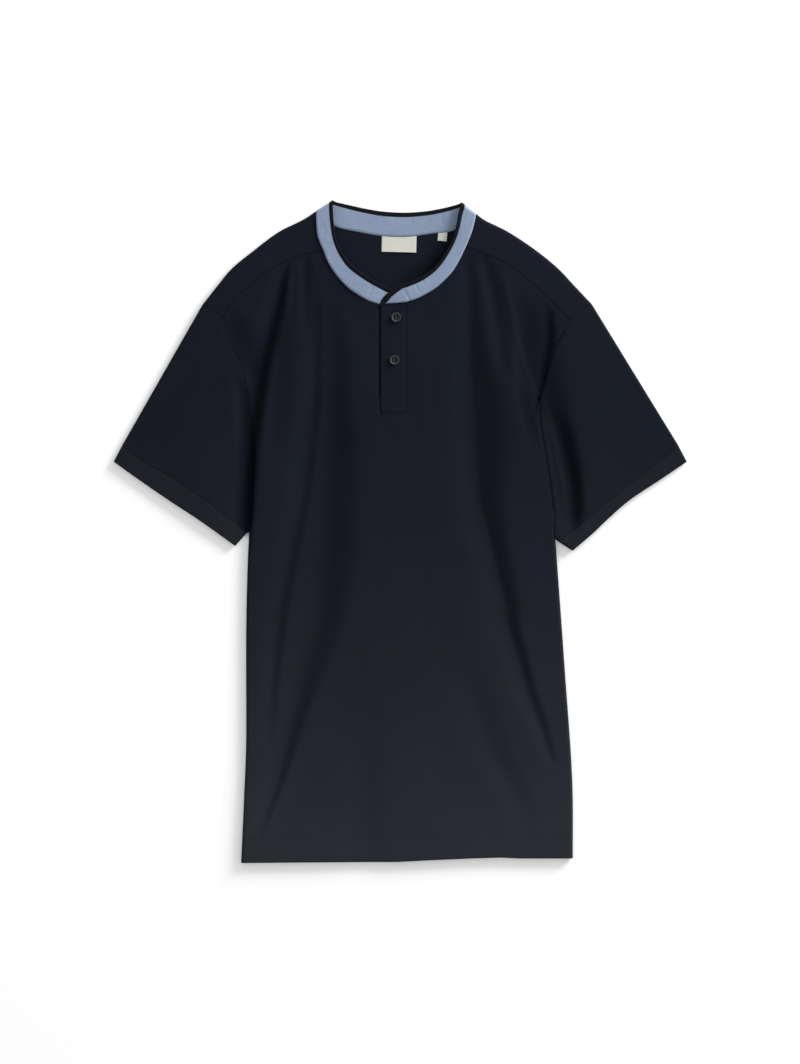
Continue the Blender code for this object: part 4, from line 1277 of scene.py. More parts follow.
@dataclass
class Placket:
    """The two strips that fill the notch of the front."""

    notch: Notch
    top: float = 7.4
    under_top: float = 5.6
    margin: float = 0.05
    box_stitch: float = 10.4
    edge_stitch: float = 1.9
    thickness: float = 1.6
    under_thickness: float = 1.4
    down: Cells = (112, 124.0)
    across: Cells = (30, 28.0)
    under_cells: tuple[int, int] = (12, 3)

    def height(self, plan: Array) -> Array:
        """Height of the upper strip's outer face at each point."""
        x, y, notch = plan[..., 0], plan[..., 1], self.notch
        lift = 0.08 * np.sin(y / 9.0 + x / 7) + 0.06 * np.sin(y / 21.0)
        # The distance from each line, how deep it lies and its half width.
        falls = ((x - notch.left - self.margin, 0.4, 0.5), (notch.right - x, 0.40, 0.7),
                 (y - notch.bottom, 0.5, 1.0),
                 (x - notch.left - self.margin - 1.7, 0.10, 0.5),
                 (notch.right - self.edge_stitch - x, 0.12, 0.6),
                 (notch.bottom + self.box_stitch - y, 0.12, 0.6))
        for away, depth, width in falls:
            lift = lift - depth * np.exp(-(away / width) ** 2)
        return self.top + lift

    def plan(self, rows: Array, columns: Array) -> Array:
        """Plan points of a strip."""
        notch = self.notch
        x = notch.left + self.margin
        x = x + (notch.right - notch.left - self.margin - SEAM_GAP) * columns
        corners = np.array([LEFT.neck_seam[-1], RIGHT.neck_seam[-1]])
        high = np.interp(x, corners[:, 0], corners[:, 1]) - SEAM_GAP
        low = notch.bottom + SEAM_GAP
        y = low + (high[None] - low) * rows[:, None]
        return np.stack([np.broadcast_to(x, y.shape), y], axis=-1)

    def upper(self) -> Piece:
        """Make the strip with the buttonholes."""
        plan = self.plan(graded(*self.down, True, True), graded(*self.across, True, True))
        high = self.height(plan)[..., None]
        wall = Wall("placket_upper_cloth")
        wall.add(np.concatenate([plan, high], -1),
                 floor_layer(plan, self.top - self.thickness), plan)
        return wall.build()

    def under(self) -> Piece:
        """Make the hidden strip that carries the buttons."""
        plan = self.plan(*(even(cells) for cells in self.under_cells))
        wall = Wall("placket_under_cloth")
        wall.add(floor_layer(plan, self.under_top),
                 floor_layer(plan, self.under_top - self.under_thickness), plan)
        return wall.build()


@dataclass
class Button:
    """A small four-hole button with a rim and its sewing thread."""

    radius: float = 5.5
    height: float = 2.3
    base: float = 7.5
    rim: float = 1.7
    dish: float = 1.15
    # The shares of the dish's depth before and after its small inner step.
    dish_shares: Pair = (0.6, 0.4)
    dish_step: float = 0.3
    rounding: float = 0.34
    hole_radius: float = 1.0
    hole_offset: float = 2.35
    thread_radius: float = 0.32
    thread_apart: float = 0.28
    thread_crown: float = 0.5
    thread_sink: float = 0.42

    def shape(self, name: str, place: Pair) -> Piece:
        """Turn, dish and drill one button.

        Args:
            name: The object's name.
            place: Its middle in the plan, in millimetres.

        Returns:
            The finished button, with its place in its mesh.
        """
        height = self.height * MM
        middle = Vector((place[0], place[1], self.base + self.height / 2)) * MM
        bpy.ops.object.select_all(action="DESELECT")
        bpy.ops.mesh.primitive_cylinder_add(vertices=64, radius=self.radius * MM,
                                            depth=height, location=middle)
        button = bpy.context.object
        button.name = button.data.name = name
        bpy.ops.object.mode_set(mode="EDIT")
        select_faces(button, lambda face: face.normal.z > 0.9)
        for _ in range(2):
            bpy.ops.mesh.inset(thickness=0.5 * self.rim * MM)
        first, second = self.dish_shares
        bpy.ops.transform.translate(value=(0, 0, -first * self.dish * MM))
        bpy.ops.mesh.inset(thickness=self.dish_step * MM)
        bpy.ops.transform.translate(value=(0, 0, -second * self.dish * MM))
        bpy.ops.object.mode_set(mode="OBJECT")
        self.round_rims(button)
        self.drill(button)
        smooth_and_settle(button)
        return button

    def round_rims(self, button: Piece) -> None:
        """Round the outer edges and the lip of the dish."""
        bevel = button.modifiers.new("rounding", "BEVEL")
        bevel.width = self.rounding * MM
        bevel.segments = 3
        bevel.limit_method = "ANGLE"
        bevel.angle_limit = math.radians(25)
        bpy.ops.object.modifier_apply(modifier=bevel.name)

    def drill(self, button: Piece) -> None:
        """Cut the four sewing holes."""
        for index in range(4):
            angle = math.radians(45 + 90 * index)
            spot = Vector((math.cos(angle), math.sin(angle), 0)) * self.hole_offset * MM
            bpy.ops.object.select_all(action="DESELECT")
            bpy.ops.mesh.primitive_cylinder_add(
                vertices=16, radius=self.hole_radius * MM, depth=4 * self.height * MM,
                location=button.location + spot)
            cutter = bpy.context.object
            hole = button.modifiers.new("hole", "BOOLEAN")
            hole.object = cutter
            hole.solver = "EXACT"
            bpy.context.view_layer.objects.active = button
            bpy.ops.object.modifier_apply(modifier=hole.name)
            bpy.data.objects.remove(cutter, do_unlink=True)

    def thread(self, name: str, place: Pair) -> Piece:
        """The two bars of thread that join the holes of a button in pairs."""
        floor = self.base + self.height - self.dish
        reach = self.hole_offset / math.sqrt(2)
        run = np.linspace(-1, 1, 9)
        lines = []
        for column in (-reach, reach):
            for offset in (-self.thread_apart, self.thread_apart):
                arch = self.thread_crown * np.sqrt(np.maximum(0, 1 - run**2))
                rise = floor + arch - self.thread_sink
                lines.append(np.column_stack([np.full(9, column + offset) + place[0],
                                              run * reach + place[1], rise]))
        return cords(name, lines, self.thread_radius)


@dataclass
class Buttonhole:
    """A horizontal buttonhole: small stitches all round a slit."""

    # Where the middle of the slit lies from the button's.
    offset: Pair = (-0.7, 3.2)
    length: float = 14.0
    inner: float = 0.22
    outer: float = 1.15
    pitch: float = 0.5
    radius: float = 0.17
    arch: Numbers = (-0.1, 0.16, -0.12)

    def piece(self, name: str, place: Pair,
              strip: Placket) -> Piece:
        """Make the ring of stitches on the placket.

        Args:
            name: The object's name.
            place: The middle of the slit in the plan.
            strip: The placket that it is cut in.

        Returns:
            The stitches as one piece.
        """
        half = self.length / 2
        lines = []
        for x in np.arange(-half, half + 0.01, self.pitch):
            for way in (-1, 1):
                lines.append(self.stitch((x, 0), (0, way), place, strip))
        for end in (-1, 1):
            for lean in np.radians((-60, -30, 0, 30, 60)):
                out = (end * math.cos(lean), math.sin(lean))
                lines.append(self.stitch((end * half, 0), out, place, strip))
        return cords(name, lines, self.radius, 5)

    def stitch(self, start: Pair, way: Pair,
               place: Pair, strip: Placket) -> Array:
        """One stitch from beside the slit outwards."""
        reach = np.array([self.inner, (self.inner + self.outer) / 2, self.outer])
        plan = np.array(start) + reach[:, None] * np.array(way) + place
        high = strip.height(plan) + np.array(self.arch)
        return np.column_stack([plan, high])


def select_faces(piece: Piece,
                 wanted: Callable[[bmesh.types.BMFace], bool]) -> None:
    """Select in edit mode the faces for which wanted is true, and no others."""
    work = bmesh.from_edit_mesh(piece.data)
    chosen = [face for face in work.faces if wanted(face)]
    for face in work.faces:
        face.select = False
    for face in chosen:
        face.select = True
    work.select_flush_mode()
    bmesh.update_edit_mesh(piece.data)


def smooth_and_settle(piece: Piece) -> None:
    """Smooth a piece, and move its place and turn into its mesh."""
    bpy.ops.object.select_all(action="DESELECT")
    piece.select_set(True)
    bpy.context.view_layer.objects.active = piece
    bpy.ops.object.shade_smooth_by_angle(angle=math.radians(35))
    bpy.ops.object.transform_apply(location=True, rotation=True, scale=True)


def cords(name: str, lines: list[Array], radius: float, sides: int = 6) -> Piece:
    """Lay a thin round thread along each line and join them into one piece.

    Args:
        name: The object's name.
        lines: The points that each thread follows, in millimetres.
        radius: The thread's radius in millimetres.
        sides: How many sides its section has.

    Returns:
        The joined piece.
    """
    angle = np.arange(sides) * 2 * np.pi / sides
    points, faces, start = [], [], 0
    for line in lines:
        way = np.gradient(line, axis=0)
        way /= norms(way)
        side = np.cross(way, [0.0, 0.0, 1.0])
        side /= np.maximum(norms(side), 1e-9)
        up = np.cross(side, way)
        ring = (line[:, None] + radius * (np.cos(angle)[None, :, None] * side[:, None]
                                          + np.sin(angle)[None, :, None] * up[:, None]))
        ring[0] = line[0] + (ring[0] - line[0]) * 0.5
        ring[-1] = line[-1] + (ring[-1] - line[-1]) * 0.5
        points.append(ring.reshape(-1, 3))
        for row in range(len(line) - 1):
            for place in range(sides):
                after = (place + 1) % sides
                low, high = start + row * sides, start + (row + 1) * sides
                faces.append((low + place, high + place, high + after, low + after))
        faces.append(tuple(start + place for place in range(sides)))
        last = start + (len(line) - 1) * sides
        faces.append(tuple(last + place for place in reversed(range(sides))))
        start += len(line) * sides
    return mesh_object(name, np.vstack(points) * MM, faces)


@dataclass
class Label:
    """A blank woven label, sewn in under the collar band."""

    width: float
    length: float
    place: Pair
    turn: float
    base: float = 1.25
    thickness: float = 0.5
    curl: float = 0.5
    rounding: float = 0.14
    cells: tuple[int, int] = (16, 10)

    def piece(self, name: str) -> Piece:
        """Make the label: a thin sheet whose free end lifts a little.

        Args:
            name: The object's name.

        Returns:
            The label, with its own pattern places.
        """
        u, v = np.meshgrid(graded(self.cells[0], self.width, True, True) - 0.5,
                           graded(self.cells[1], self.length, True, True))
        angle = math.radians(self.turn)
        across, low_edge = u * self.width, -self.length / 2
        foot_x = self.place[0] + across * math.cos(angle) - low_edge * math.sin(angle)
        foot_y = self.place[1] + across * math.sin(angle) + low_edge * math.cos(angle)
        seam = smooth_line(BACK_NECK_SEAM)
        gap = height_on(seam, foot_x) - SEAM_GAP - foot_y
        down = (1 - v) * gap
        x, y = foot_x - down * math.tan(angle), foot_y + down
        lift = self.curl * v**2 * (0.6 + 0.4 * np.cos(2 * np.pi * u * 0.8 + 0.5))
        rounding = self.rounding * np.exp(-((0.5 - np.abs(u)) * self.width / 0.5) ** 2)
        low = self.base + lift
        wall = Wall(name, turned=True)
        places = np.stack([across, down], -1)
        wall.add(np.stack([x, y, low + self.thickness - rounding], -1),
                 np.stack([x, y, low], -1), places)
        return wall.build()


@dataclass
class Stitching:
    """Rows of small stitches that lie on the cloth."""

    lie: Lie
    radius: float = 0.24
    length: float = 2.1
    pitch: float = 3.3
    sides: int = 5
    sink: float = 0.22
    hem_inset: float = 1.0
    hem_margin: float = 5.0
    hem_points: int = 90
    strip_right: float = 1.9
    strip_left: float = 1.4
    strip_start: float = 256.0
    strip_lift: float = 0.04
    band_over: float = 3.2
    band_height: float = 2.22
    band_span: Pair = (-68.0, 58.0)

    def cut(self, line: Array) -> Array:
        """Points along a line, four for each stitch."""
        count = max(1, int(lengths(line)[-1] / self.pitch))
        shares = np.arange(count)[:, None] + np.linspace(0, self.length / self.pitch, 4)
        return along(line, (shares / count).ravel())

    def on_top(self, line: Array, lift: float = 0.06) -> list[Array]:
        """Cut a plan line into stitches on the top layer.

        Args:
            line: The plan points of the sewn line.
            lift: How far the middle of the thread is over the cloth.

        Returns:
            The points of each stitch.
        """
        plan = self.cut(line)
        high = self.lie.height(plan)
        return self.arched(np.column_stack([plan, high + lift]))

    def on_line(self, line: Array) -> list[Array]:
        """Cut a line that already has its heights into stitches."""
        return self.arched(self.cut(line))

    def arched(self, points: Array) -> list[Array]:
        """Sink the two ends of each stitch into the cloth."""
        stitches = points.reshape(-1, 4, 3).copy()
        stitches[:, [0, -1], 2] -= self.sink
        return list(stitches)

    @staticmethod
    def beside(line: Array, distance: float) -> Array:
        """A line beside another one, at a distance to its left."""
        way = np.gradient(line, axis=0)
        way /= norms(way)
        return line + np.stack([-way[:, 1], way[:, 0]], axis=1) * distance

    def hem(self, over: float) -> Array:
        """The plan line of the hem's stitching."""
        x = np.linspace(HEM[0][0] + self.hem_margin, HEM[-1][0] - self.hem_margin,
                        self.hem_points)
        return np.stack([x, height_on(HEM, x) + over], axis=1)

    def strip(self, placket: Placket) -> list[Array]:
        """The stitches down both sides of the placket and round its lower box."""
        notch = placket.notch
        right, left = notch.right - self.strip_right, notch.left + self.strip_left
        top, low = self.strip_start, notch.bottom + 1.0
        box = notch.bottom + placket.box_stitch
        sewn = []
        for start, end in (((right, top), (right, low)), ((left, top), (left, low)),
                           ((left, box), (right, box)), ((left, low), (right, low))):
            line = np.linspace(start, end, 60)
            high = placket.height(line) + self.strip_lift
            sewn += self.on_line(np.column_stack([line, high]))
        return sewn

    def band(self) -> list[Array]:
        """The stitches along the foot of the band, at the back of the neck."""
        seam = smooth_line(BACK_NECK_SEAM, 12)
        first, last = self.band_span
        seam = seam[(seam[:, 0] > first) & (seam[:, 0] < last)]
        over = self.beside(seam, self.band_over)
        return self.on_line(np.column_stack([over, np.full(len(over), self.band_height)]))


# --- finishes

class Value:
    """A shader socket that can be used in sums."""

    def __init__(self, tree: bpy.types.NodeTree, socket: bpy.types.NodeSocket) -> None:
        """Wrap a socket of a node tree."""
        self.tree = tree
        self.socket = socket

    def math(self, operation: str, *others: "Value | float") -> "Value":
        """Add a Math node on this value and others."""
        node = self.tree.nodes.new("ShaderNodeMath")
        node.operation = operation
        for socket, value in zip(node.inputs, (self, *others)):
            if isinstance(value, Value):
                self.tree.links.new(value.socket, socket)
            else:
                socket.default_value = value
        return Value(self.tree, node.outputs[0])

    def __add__(self, other: "Value | float") -> "Value":
        """Sum."""
        return self.math("ADD", other)

    __radd__ = __add__

    def __mul__(self, other: "Value | float") -> "Value":
        """Product."""
        return self.math("MULTIPLY", other)

    __rmul__ = __mul__

    def __sub__(self, other: "Value | float") -> "Value":
        """Difference."""
        return self.math("SUBTRACT", other)

    def __rsub__(self, other: "Value | float") -> "Value":
        """Difference from a number."""
        return self.math("MULTIPLY", -1.0).math("ADD", other)

    def __truediv__(self, other: "Value | float") -> "Value":
        """Quotient."""
        return self.math("DIVIDE", other)

    def clipped(self) -> "Value":
        """The value held between 0 and 1."""
        held = self.math("ADD", 0.0)
        held.socket.node.use_clamp = True
        return held


Setting = Value | float | Numbers
EVEN = (1.0, 1.0, 1.0)


class Dye:
    """The node tree of one material, as it is being put together."""

    def __init__(self, name: str) -> None:
        """Start a material with a Principled shader."""
        self.material = bpy.data.materials.new(name)
        self.material.use_nodes = True
        self.tree = self.material.node_tree
        self.shader = self.tree.nodes["Principled BSDF"]

    def node(self, kind: str, settings: dict[str, str | bool] | None = None,
             inputs: dict[str | int, Setting] | None = None,
             output: int | str = 0) -> Value:
        """Add a node.

        Args:
            kind: Its type.
            settings: Its properties by name.
            inputs: The value or link of each socket, by name or number.
            output: Which output is wanted.

        Returns:
            The wanted output.
        """
        node = self.tree.nodes.new(kind)
        for key, value in (settings or {}).items():
            setattr(node, key, value)
        for key, value in (inputs or {}).items():
            self.feed(node.inputs[key], value)
        return Value(self.tree, node.outputs[output])

    def feed(self, socket: bpy.types.NodeSocket, value: Setting) -> None:
        """Link a value to a socket, or set the socket to a constant."""
        if isinstance(value, Value):
            self.tree.links.new(value.socket, socket)
        else:
            socket.default_value = value

    def set(self, **values: Setting) -> None:
        """Set the shader's sockets, with _ for a space in their names."""
        for key, value in values.items():
            self.feed(self.shader.inputs[key.replace("_", " ")], value)

    def spot(self) -> Value:
        """The place in the object, in metres."""
        return self.node("ShaderNodeTexCoord", output="Object")

    def parts(self, vector: Value) -> tuple[Value, ...]:
        """The x, y and z of a vector."""
        split = self.node("ShaderNodeSeparateXYZ", inputs={0: vector}).socket.node
        return tuple(Value(self.tree, output) for output in split.outputs)

    def cloth_place(self, turn: float = 0.0) -> tuple[Value, Value, Value]:
        """The place in the cloth: its vector, its x and its y, in metres."""
        place = self.node("ShaderNodeUVMap", {"uv_map": "cloth"})
        if turn:
            place = self.node("ShaderNodeVectorRotate", {"rotation_type": "Z_AXIS"},
                              {"Vector": place, "Angle": turn})
        x, y, _ = self.parts(place)
        return place, x, y

    def noise(self, vector: Value, scale: float, stretch: tuple[float, float, float],
              detail: float = 3.0, roughness: float = 0.55) -> Value:
        """A noise from 0 to 1 that is stretched along an axis."""
        scaled = self.node("ShaderNodeMapping", inputs={"Vector": vector,
                                                        "Scale": stretch})
        return self.node("ShaderNodeTexNoise", {"noise_dimensions": "3D"},
                         {"Vector": scaled, "Scale": scale, "Detail": detail,
                          "Roughness": roughness})

    def mix(self, share: Value, first: Setting, second: Setting) -> Value:
        """Mix two colours."""
        return self.node("ShaderNodeMix", {"data_type": "RGBA"},
                         {0: share, 6: first, 7: second}, 2)

    def bump(self, height: Value, distance: float, strength: float = 1.0) -> Value:
        """A normal from a height."""
        return self.node("ShaderNodeBump", inputs={"Height": height,
                                                   "Distance": distance,
                                                   "Strength": strength})


@dataclass(frozen=True)
class Jersey:
    """Fine knitted jersey, dyed navy."""

    name: str = "navy_jersey"
    dark: Numbers = (0.0042, 0.0056, 0.0101, 1)
    light: Numbers = (0.0079, 0.0098, 0.0164, 1)
    sheened: Numbers = (0.0170, 0.0192, 0.0240, 1)
    shade_colour: Numbers = (0.0004, 0.0005, 0.0009, 1)
    # Where the painted sheen starts below the neck, and the length over which it grows, in
    # metres.
    sheen_from: float = 0.12
    sheen_length: float = 0.48
    wale: float = 0.0011
    course: float = 0.0009

    def material(self) -> Material:
        """Build the knit: wales of small loops and slubs, painted sheen that greys it
        towards the hem and the sides, and painted shade in the folds.
        """
        dye = Dye(self.name)
        place, u, v = dye.cloth_place()
        side = (u / self.wale).math("FRACT") - 0.5
        lean = side.math("ABSOLUTE")
        row = (v / self.course + lean * 0.9).math("FRACT") - 0.5
        loops = (1 - lean * 2.0) * 0.6 + (0.5 - row.math("ABSOLUTE")) * 0.8
        slub = dye.noise(place, 1.0, (22.0, 900.0, 1.0), 2.0)
        grain = dye.noise(place, 420.0, EVEN, 4.0, 0.7)
        spot = dye.spot()
        cloud = dye.noise(spot, 7.0, EVEN, 3.0)
        streak = dye.noise(place, 1.0, (70.0, 9.0, 1.0), 2.0)
        share = (slub * 0.45 + grain * 0.45 + cloud * 0.45 + streak * 0.35 + loops * 0.18
                 - 0.445)
        knit = dye.mix(share.clipped(), self.dark, self.light)
        # Painted sheen: the knit is painted lighter and greyer towards the hem and towards
        # the sides.
        x, y, _ = dye.parts(spot)
        fade = ((self.sheen_from - y) / self.sheen_length).clipped()
        sheen_share = fade * fade * (0.52 + cloud * 0.5) + fade * 0.22 + fade * x * x * 2.6
        sheened = dye.mix(sheen_share.clipped(), knit, self.sheened)
        # Painted shade: the fold_shade attribute mixes the knit towards a near-black shade
        # colour.
        painted_shade = dye.node("ShaderNodeAttribute", {"attribute_name": SHADE}, output="Fac")
        shaded = dye.mix(painted_shade, sheened, self.shade_colour)
        height = loops * 0.5 + slub * 0.5 + grain * 0.5
        dye.set(Base_Color=shaded, Roughness=0.92 - grain * 0.12,
                Normal=dye.bump(height, 0.00016, 0.55))
        dye.set(Specular_IOR_Level=0.03, Sheen_Weight=0.014, Sheen_Roughness=0.45)
        return dye.material


@dataclass(frozen=True)
class Chambray:
    """Plain-woven cotton with blue warp and pale weft."""

    name: str = "chambray"
    blue: Numbers = (0.113, 0.159, 0.250, 1)
    pale: Numbers = (0.236, 0.284, 0.370, 1)
    thread: float = 0.00048

    def material(self) -> Material:
        """Build the weave: crossing threads and uneven yarns both ways."""
        dye = Dye(self.name)
        place, u, v = dye.cloth_place(0.1)
        warp = (u * (2 * math.pi / self.thread)).math("SINE")
        weft = (v * (2 * math.pi / self.thread)).math("SINE")
        over = (warp * weft) * 0.5 + 0.5
        long_yarn = dye.noise(place, 1.0, (60.0, 1500.0, 1.0), 2.0)
        cross_yarn = dye.noise(place, 1.0, (1500.0, 70.0, 1.0), 2.0)
        cloud = dye.noise(place, 60.0, EVEN, 3.0)
        share = (over * 0.30 + long_yarn * 0.55 + cross_yarn * 0.55 + cloud * 0.35 - 0.42)
        height = over * 0.6 + long_yarn * 0.5 + cross_yarn * 0.5
        dye.set(Base_Color=dye.mix(share.clipped(), self.blue, self.pale),
                Roughness=0.80 - cloud * 0.08, Normal=dye.bump(height, 0.00010, 0.5))
        dye.set(Specular_IOR_Level=0.15, Sheen_Weight=0.02, Sheen_Roughness=0.5)
        return dye.material


@dataclass(frozen=True)
class Twill:
    """The navy tape of the collar's tipping, with a fine slanting rib."""

    name: str = "navy_tipping"
    dark: Numbers = (0.0020, 0.0027, 0.0042, 1)
    light: Numbers = (0.0042, 0.0054, 0.0076, 1)
    rib: float = 0.0007

    def material(self) -> Material:
        """Build the rib and its uneven yarn."""
        dye = Dye(self.name)
        place, u, v = dye.cloth_place()
        rib = ((u + v) * (2 * math.pi / self.rib)).math("SINE") * 0.5 + 0.5
        grain = dye.noise(place, 500.0, EVEN, 3.0)
        dye.set(Base_Color=dye.mix((rib * 0.4 + grain * 0.8 - 0.1).clipped(), self.dark,
                                   self.light),
                Roughness=0.85 - grain * 0.1,
                Normal=dye.bump(rib * 0.6 + grain * 0.4, 0.00010, 0.5))
        dye.set(Specular_IOR_Level=0.06, Sheen_Weight=0.02)
        return dye.material


@dataclass(frozen=True)
class Resin:
    """The matt resin of the buttons."""

    name: str = "button"
    dark: Numbers = (0.0150, 0.0170, 0.0200, 1)
    light: Numbers = (0.0250, 0.0280, 0.0315, 1)
    # The height of the dish in metres, and how far the rim rises over it.
    dish_level: float = 0.00875
    rim_rise: float = 0.0008

    def material(self) -> Material:
        """Build the faint swirl and the worn sheen of the resin, with painted light on the
        rim and painted shade in the dish.
        """
        dye = Dye(self.name)
        spot = dye.spot()
        swirl = dye.noise(spot, 260.0, (1.0, 2.2, 1.0), 4.0, 0.6)
        # Painted light and shade: the raised rim is painted lighter and the dish darker.
        _, _, level = dye.parts(spot)
        rim = ((level - self.dish_level) / self.rim_rise).clipped()
        fine = dye.noise(spot, 3200.0, EVEN, 2.0)
        dye.set(Base_Color=dye.mix(swirl * 0.4 + rim * 0.6, self.dark, self.light),
                Roughness=0.66 + fine * 0.16, Normal=dye.bump(fine, 0.00003, 0.4))
        dye.set(Specular_IOR_Level=0.25)
        return dye.material


@dataclass(frozen=True)
class Satin:
    """The off-white woven satin of the labels."""

    name: str = "label"
    dark: Numbers = (0.37, 0.37, 0.325, 1)
    light: Numbers = (0.50, 0.50, 0.455, 1)
    rib: float = 0.0006

    def material(self) -> Material:
        """Build the fine ribs of the satin."""
        dye = Dye(self.name)
        place, _, v = dye.cloth_place()
        rib = (v * (2 * math.pi / self.rib)).math("SINE") * 0.5 + 0.5
        yarn = dye.noise(place, 1.0, (1800.0, 160.0, 1.0), 2.0)
        dye.set(Base_Color=dye.mix((rib * 0.25 + yarn * 0.8).clipped(), self.dark,
                                   self.light),
                Roughness=0.62 - yarn * 0.12,
                Normal=dye.bump(rib * 0.5 + yarn * 0.5, 0.00006, 0.5))
        dye.set(Specular_IOR_Level=0.3)
        return dye.material


@dataclass(frozen=True)
class Thread:
    """Sewing thread in one colour."""

    name: str
    colour: Numbers

    def material(self) -> Material:
        """Build the twist of the thread."""
        dye = Dye(self.name)
        twist = dye.noise(dye.spot(), 2600.0, EVEN, 2.0)
        dark = (*(0.7 * channel for channel in self.colour[:3]), 1)
        dye.set(Base_Color=dye.mix(twist, dark, self.colour), Roughness=0.7 - twist * 0.1)
        dye.set(Specular_IOR_Level=0.15, Sheen_Weight=0.03)
        return dye.material


# --- studio

@dataclass
class Studio:
    """The pale floor, the soft lights and the camera over the shirt."""

    lens: float = 85.0
    sensor: float = 36.0
    focus_height: float = 0.006
    frame_height: float = 1.2130
    centre: Pair = (0.0, -0.0006)
    key_watts: float = 390.0
    key_size: float = 2.0
    key_distance: float = 4.0
    key_azimuth: float = 43.0
    key_elevation: float = 13.0
    sky: float = 0.80
    floor_size: float = 40.0
    floor_level: float = -0.0002
    floor_white: Numbers = (0.76, 0.76, 0.76, 1)
    floor_glow: float = 0.13
    # The narrow gaps between sleeves and body, where painted shadow turns the floor black.
    arm_gaps: tuple[Pair, ...] = ((-0.170, 0.070), (0.163, 0.086))
    gap_reach: Pair = (0.020, 0.066)
    gap_fade: float = 0.5

    def floor(self) -> None:
        """Lay the pale floor, with painted shadow in the gaps between sleeves and body."""
        bpy.ops.object.select_all(action="DESELECT")
        bpy.ops.mesh.primitive_plane_add(size=self.floor_size,
                                         location=(0, 0, self.floor_level))
        floor = bpy.context.object
        floor.name = "studio_floor"
        dye = Dye("studio_white")
        spot = dye.spot()
        paper = dye.noise(spot, 900.0, EVEN, 2.0)
        east, north, _ = dye.parts(spot)
        # Painted shadow: the floor's colour and glow are mixed to black in the arm gaps.
        lit = 1.0
        for x, y in self.arm_gaps:
            across = (east - x) / self.gap_reach[0]
            upwards = (north - y) / self.gap_reach[1]
            beyond = across * across + upwards * upwards - 1.0
            lit = lit * (beyond / self.gap_fade).clipped()
        gap_shadow = (0.0, 0.0, 0.0, 1)
        dye.set(Base_Color=dye.mix(lit, gap_shadow, self.floor_white), Roughness=0.95,
                Normal=dye.bump(paper, 0.00002, 0.2),
                Emission_Color=dye.mix(lit, gap_shadow, (1.0, 1.0, 1.0, 1)))
        dye.set(Specular_IOR_Level=0.05, Emission_Strength=self.floor_glow)
        floor.data.materials.append(dye.material)

    def lights(self) -> None:
        """Hang the soft key light low to the upper right, and the sky."""
        azimuth, rise = math.radians(self.key_azimuth), math.radians(self.key_elevation)
        way = Vector((math.cos(azimuth) * math.cos(rise),
                      math.sin(azimuth) * math.cos(rise), math.sin(rise)))
        light = bpy.data.lights.new("key", "AREA")
        light.shape = "SQUARE"
        light.size = self.key_size
        light.energy = self.key_watts
        key = bpy.data.objects.new("key", light)
        key.location = way * self.key_distance
        key.rotation_euler = way.to_track_quat("Z", "Y").to_euler()
        bpy.context.scene.collection.objects.link(key)
        world = bpy.data.worlds.new("sky")
        world.use_nodes = True
        background = world.node_tree.nodes["Background"]
        background.inputs["Color"].default_value = (1.0, 1.0, 1.0, 1)
        background.inputs["Strength"].default_value = self.sky
        bpy.context.scene.world = world
        bpy.context.scene.view_settings.view_transform = "Standard"

    def camera(self) -> None:
        """Hang the camera straight over the shirt, at the photograph's framing."""
        data = bpy.data.cameras.new("camera")
        data.lens = self.lens
        data.sensor_width = self.sensor
        data.clip_end = 50
        camera = bpy.data.objects.new("camera", data)
        distance = self.frame_height * self.lens / self.sensor
        camera.location = (*self.centre, self.focus_height + distance)
        bpy.context.scene.collection.objects.link(camera)
        bpy.context.scene.camera = camera


# --- main

def dress(piece: Piece, finish: Material, slot: str,
          *nodes: str) -> Piece:
    """Give a piece its finish and its place in the frame.

    Args:
        piece: The piece.
        finish: Its material.
        slot: The record's slot that it takes its finish from; not used.
        nodes: The CAD nodes that it stands for.

    Returns:
        The piece.
    """
    piece.data.materials.clear()
    piece.data.materials.append(finish)
    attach(piece, "root")
    if nodes:
        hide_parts(*nodes)
    faces = piece.data.polygons
    area = sum(face.area for face in faces)
    LOG.info("%s: %d faces, %.5f square metres", piece.name, len(faces), area)
    return piece


def vertex_places(piece: Piece) -> Array:
    """The x, y and z of each vertex of a piece, in millimetres."""
    places = np.empty((len(piece.data.vertices), 3))
    piece.data.vertices.foreach_get("co", places.ravel())
    return places / MM


def shade_folds(piece: Piece, lie: Lie) -> Piece:
    """Store the painted shade of each vertex of a piece's top layer, from its folds and
    grooves.

    Args:
        piece: The piece.
        lie: How its top layer lies.

    Returns:
        The piece.
    """
    places = vertex_places(piece)
    plan = places[:, :2]
    share = places[:, 2] / lie.height(plan)
    layer = np.clip((share - lie.shaded_from) / lie.shaded_blend, 0, 1)
    attribute = piece.data.attributes.new(SHADE, "FLOAT", "POINT")
    attribute.data.foreach_set("value", lie.shade(plan) * layer)
    return piece


@dataclass(frozen=True)
class NeckShade:
    """The dark side of the neck's inside, under the right front of the band."""

    strength: float = 0.56
    reach: float = 12.5
    middle: float = 306.0
    half_length: float = 22.0
    under: float = 2.0

    def lay(self, piece: Piece) -> Piece:
        """Deepen the shade of the back panel's floor layer beside the band."""
        places = vertex_places(piece)
        away = distance_to(smooth_line(RIGHT.band_edge, 6), places[:, :2]) / self.reach
        upwards = (places[:, 1] - self.middle) / self.half_length
        dark = self.strength * np.exp(-away**2 - upwards**2) * (places[:, 2] < self.under)
        shade = piece.data.attributes[SHADE].data
        kept = np.empty(len(shade))
        shade.foreach_get("value", kept)
        shade.foreach_set("value", 1 - (1 - kept) * (1 - dark))
        return piece


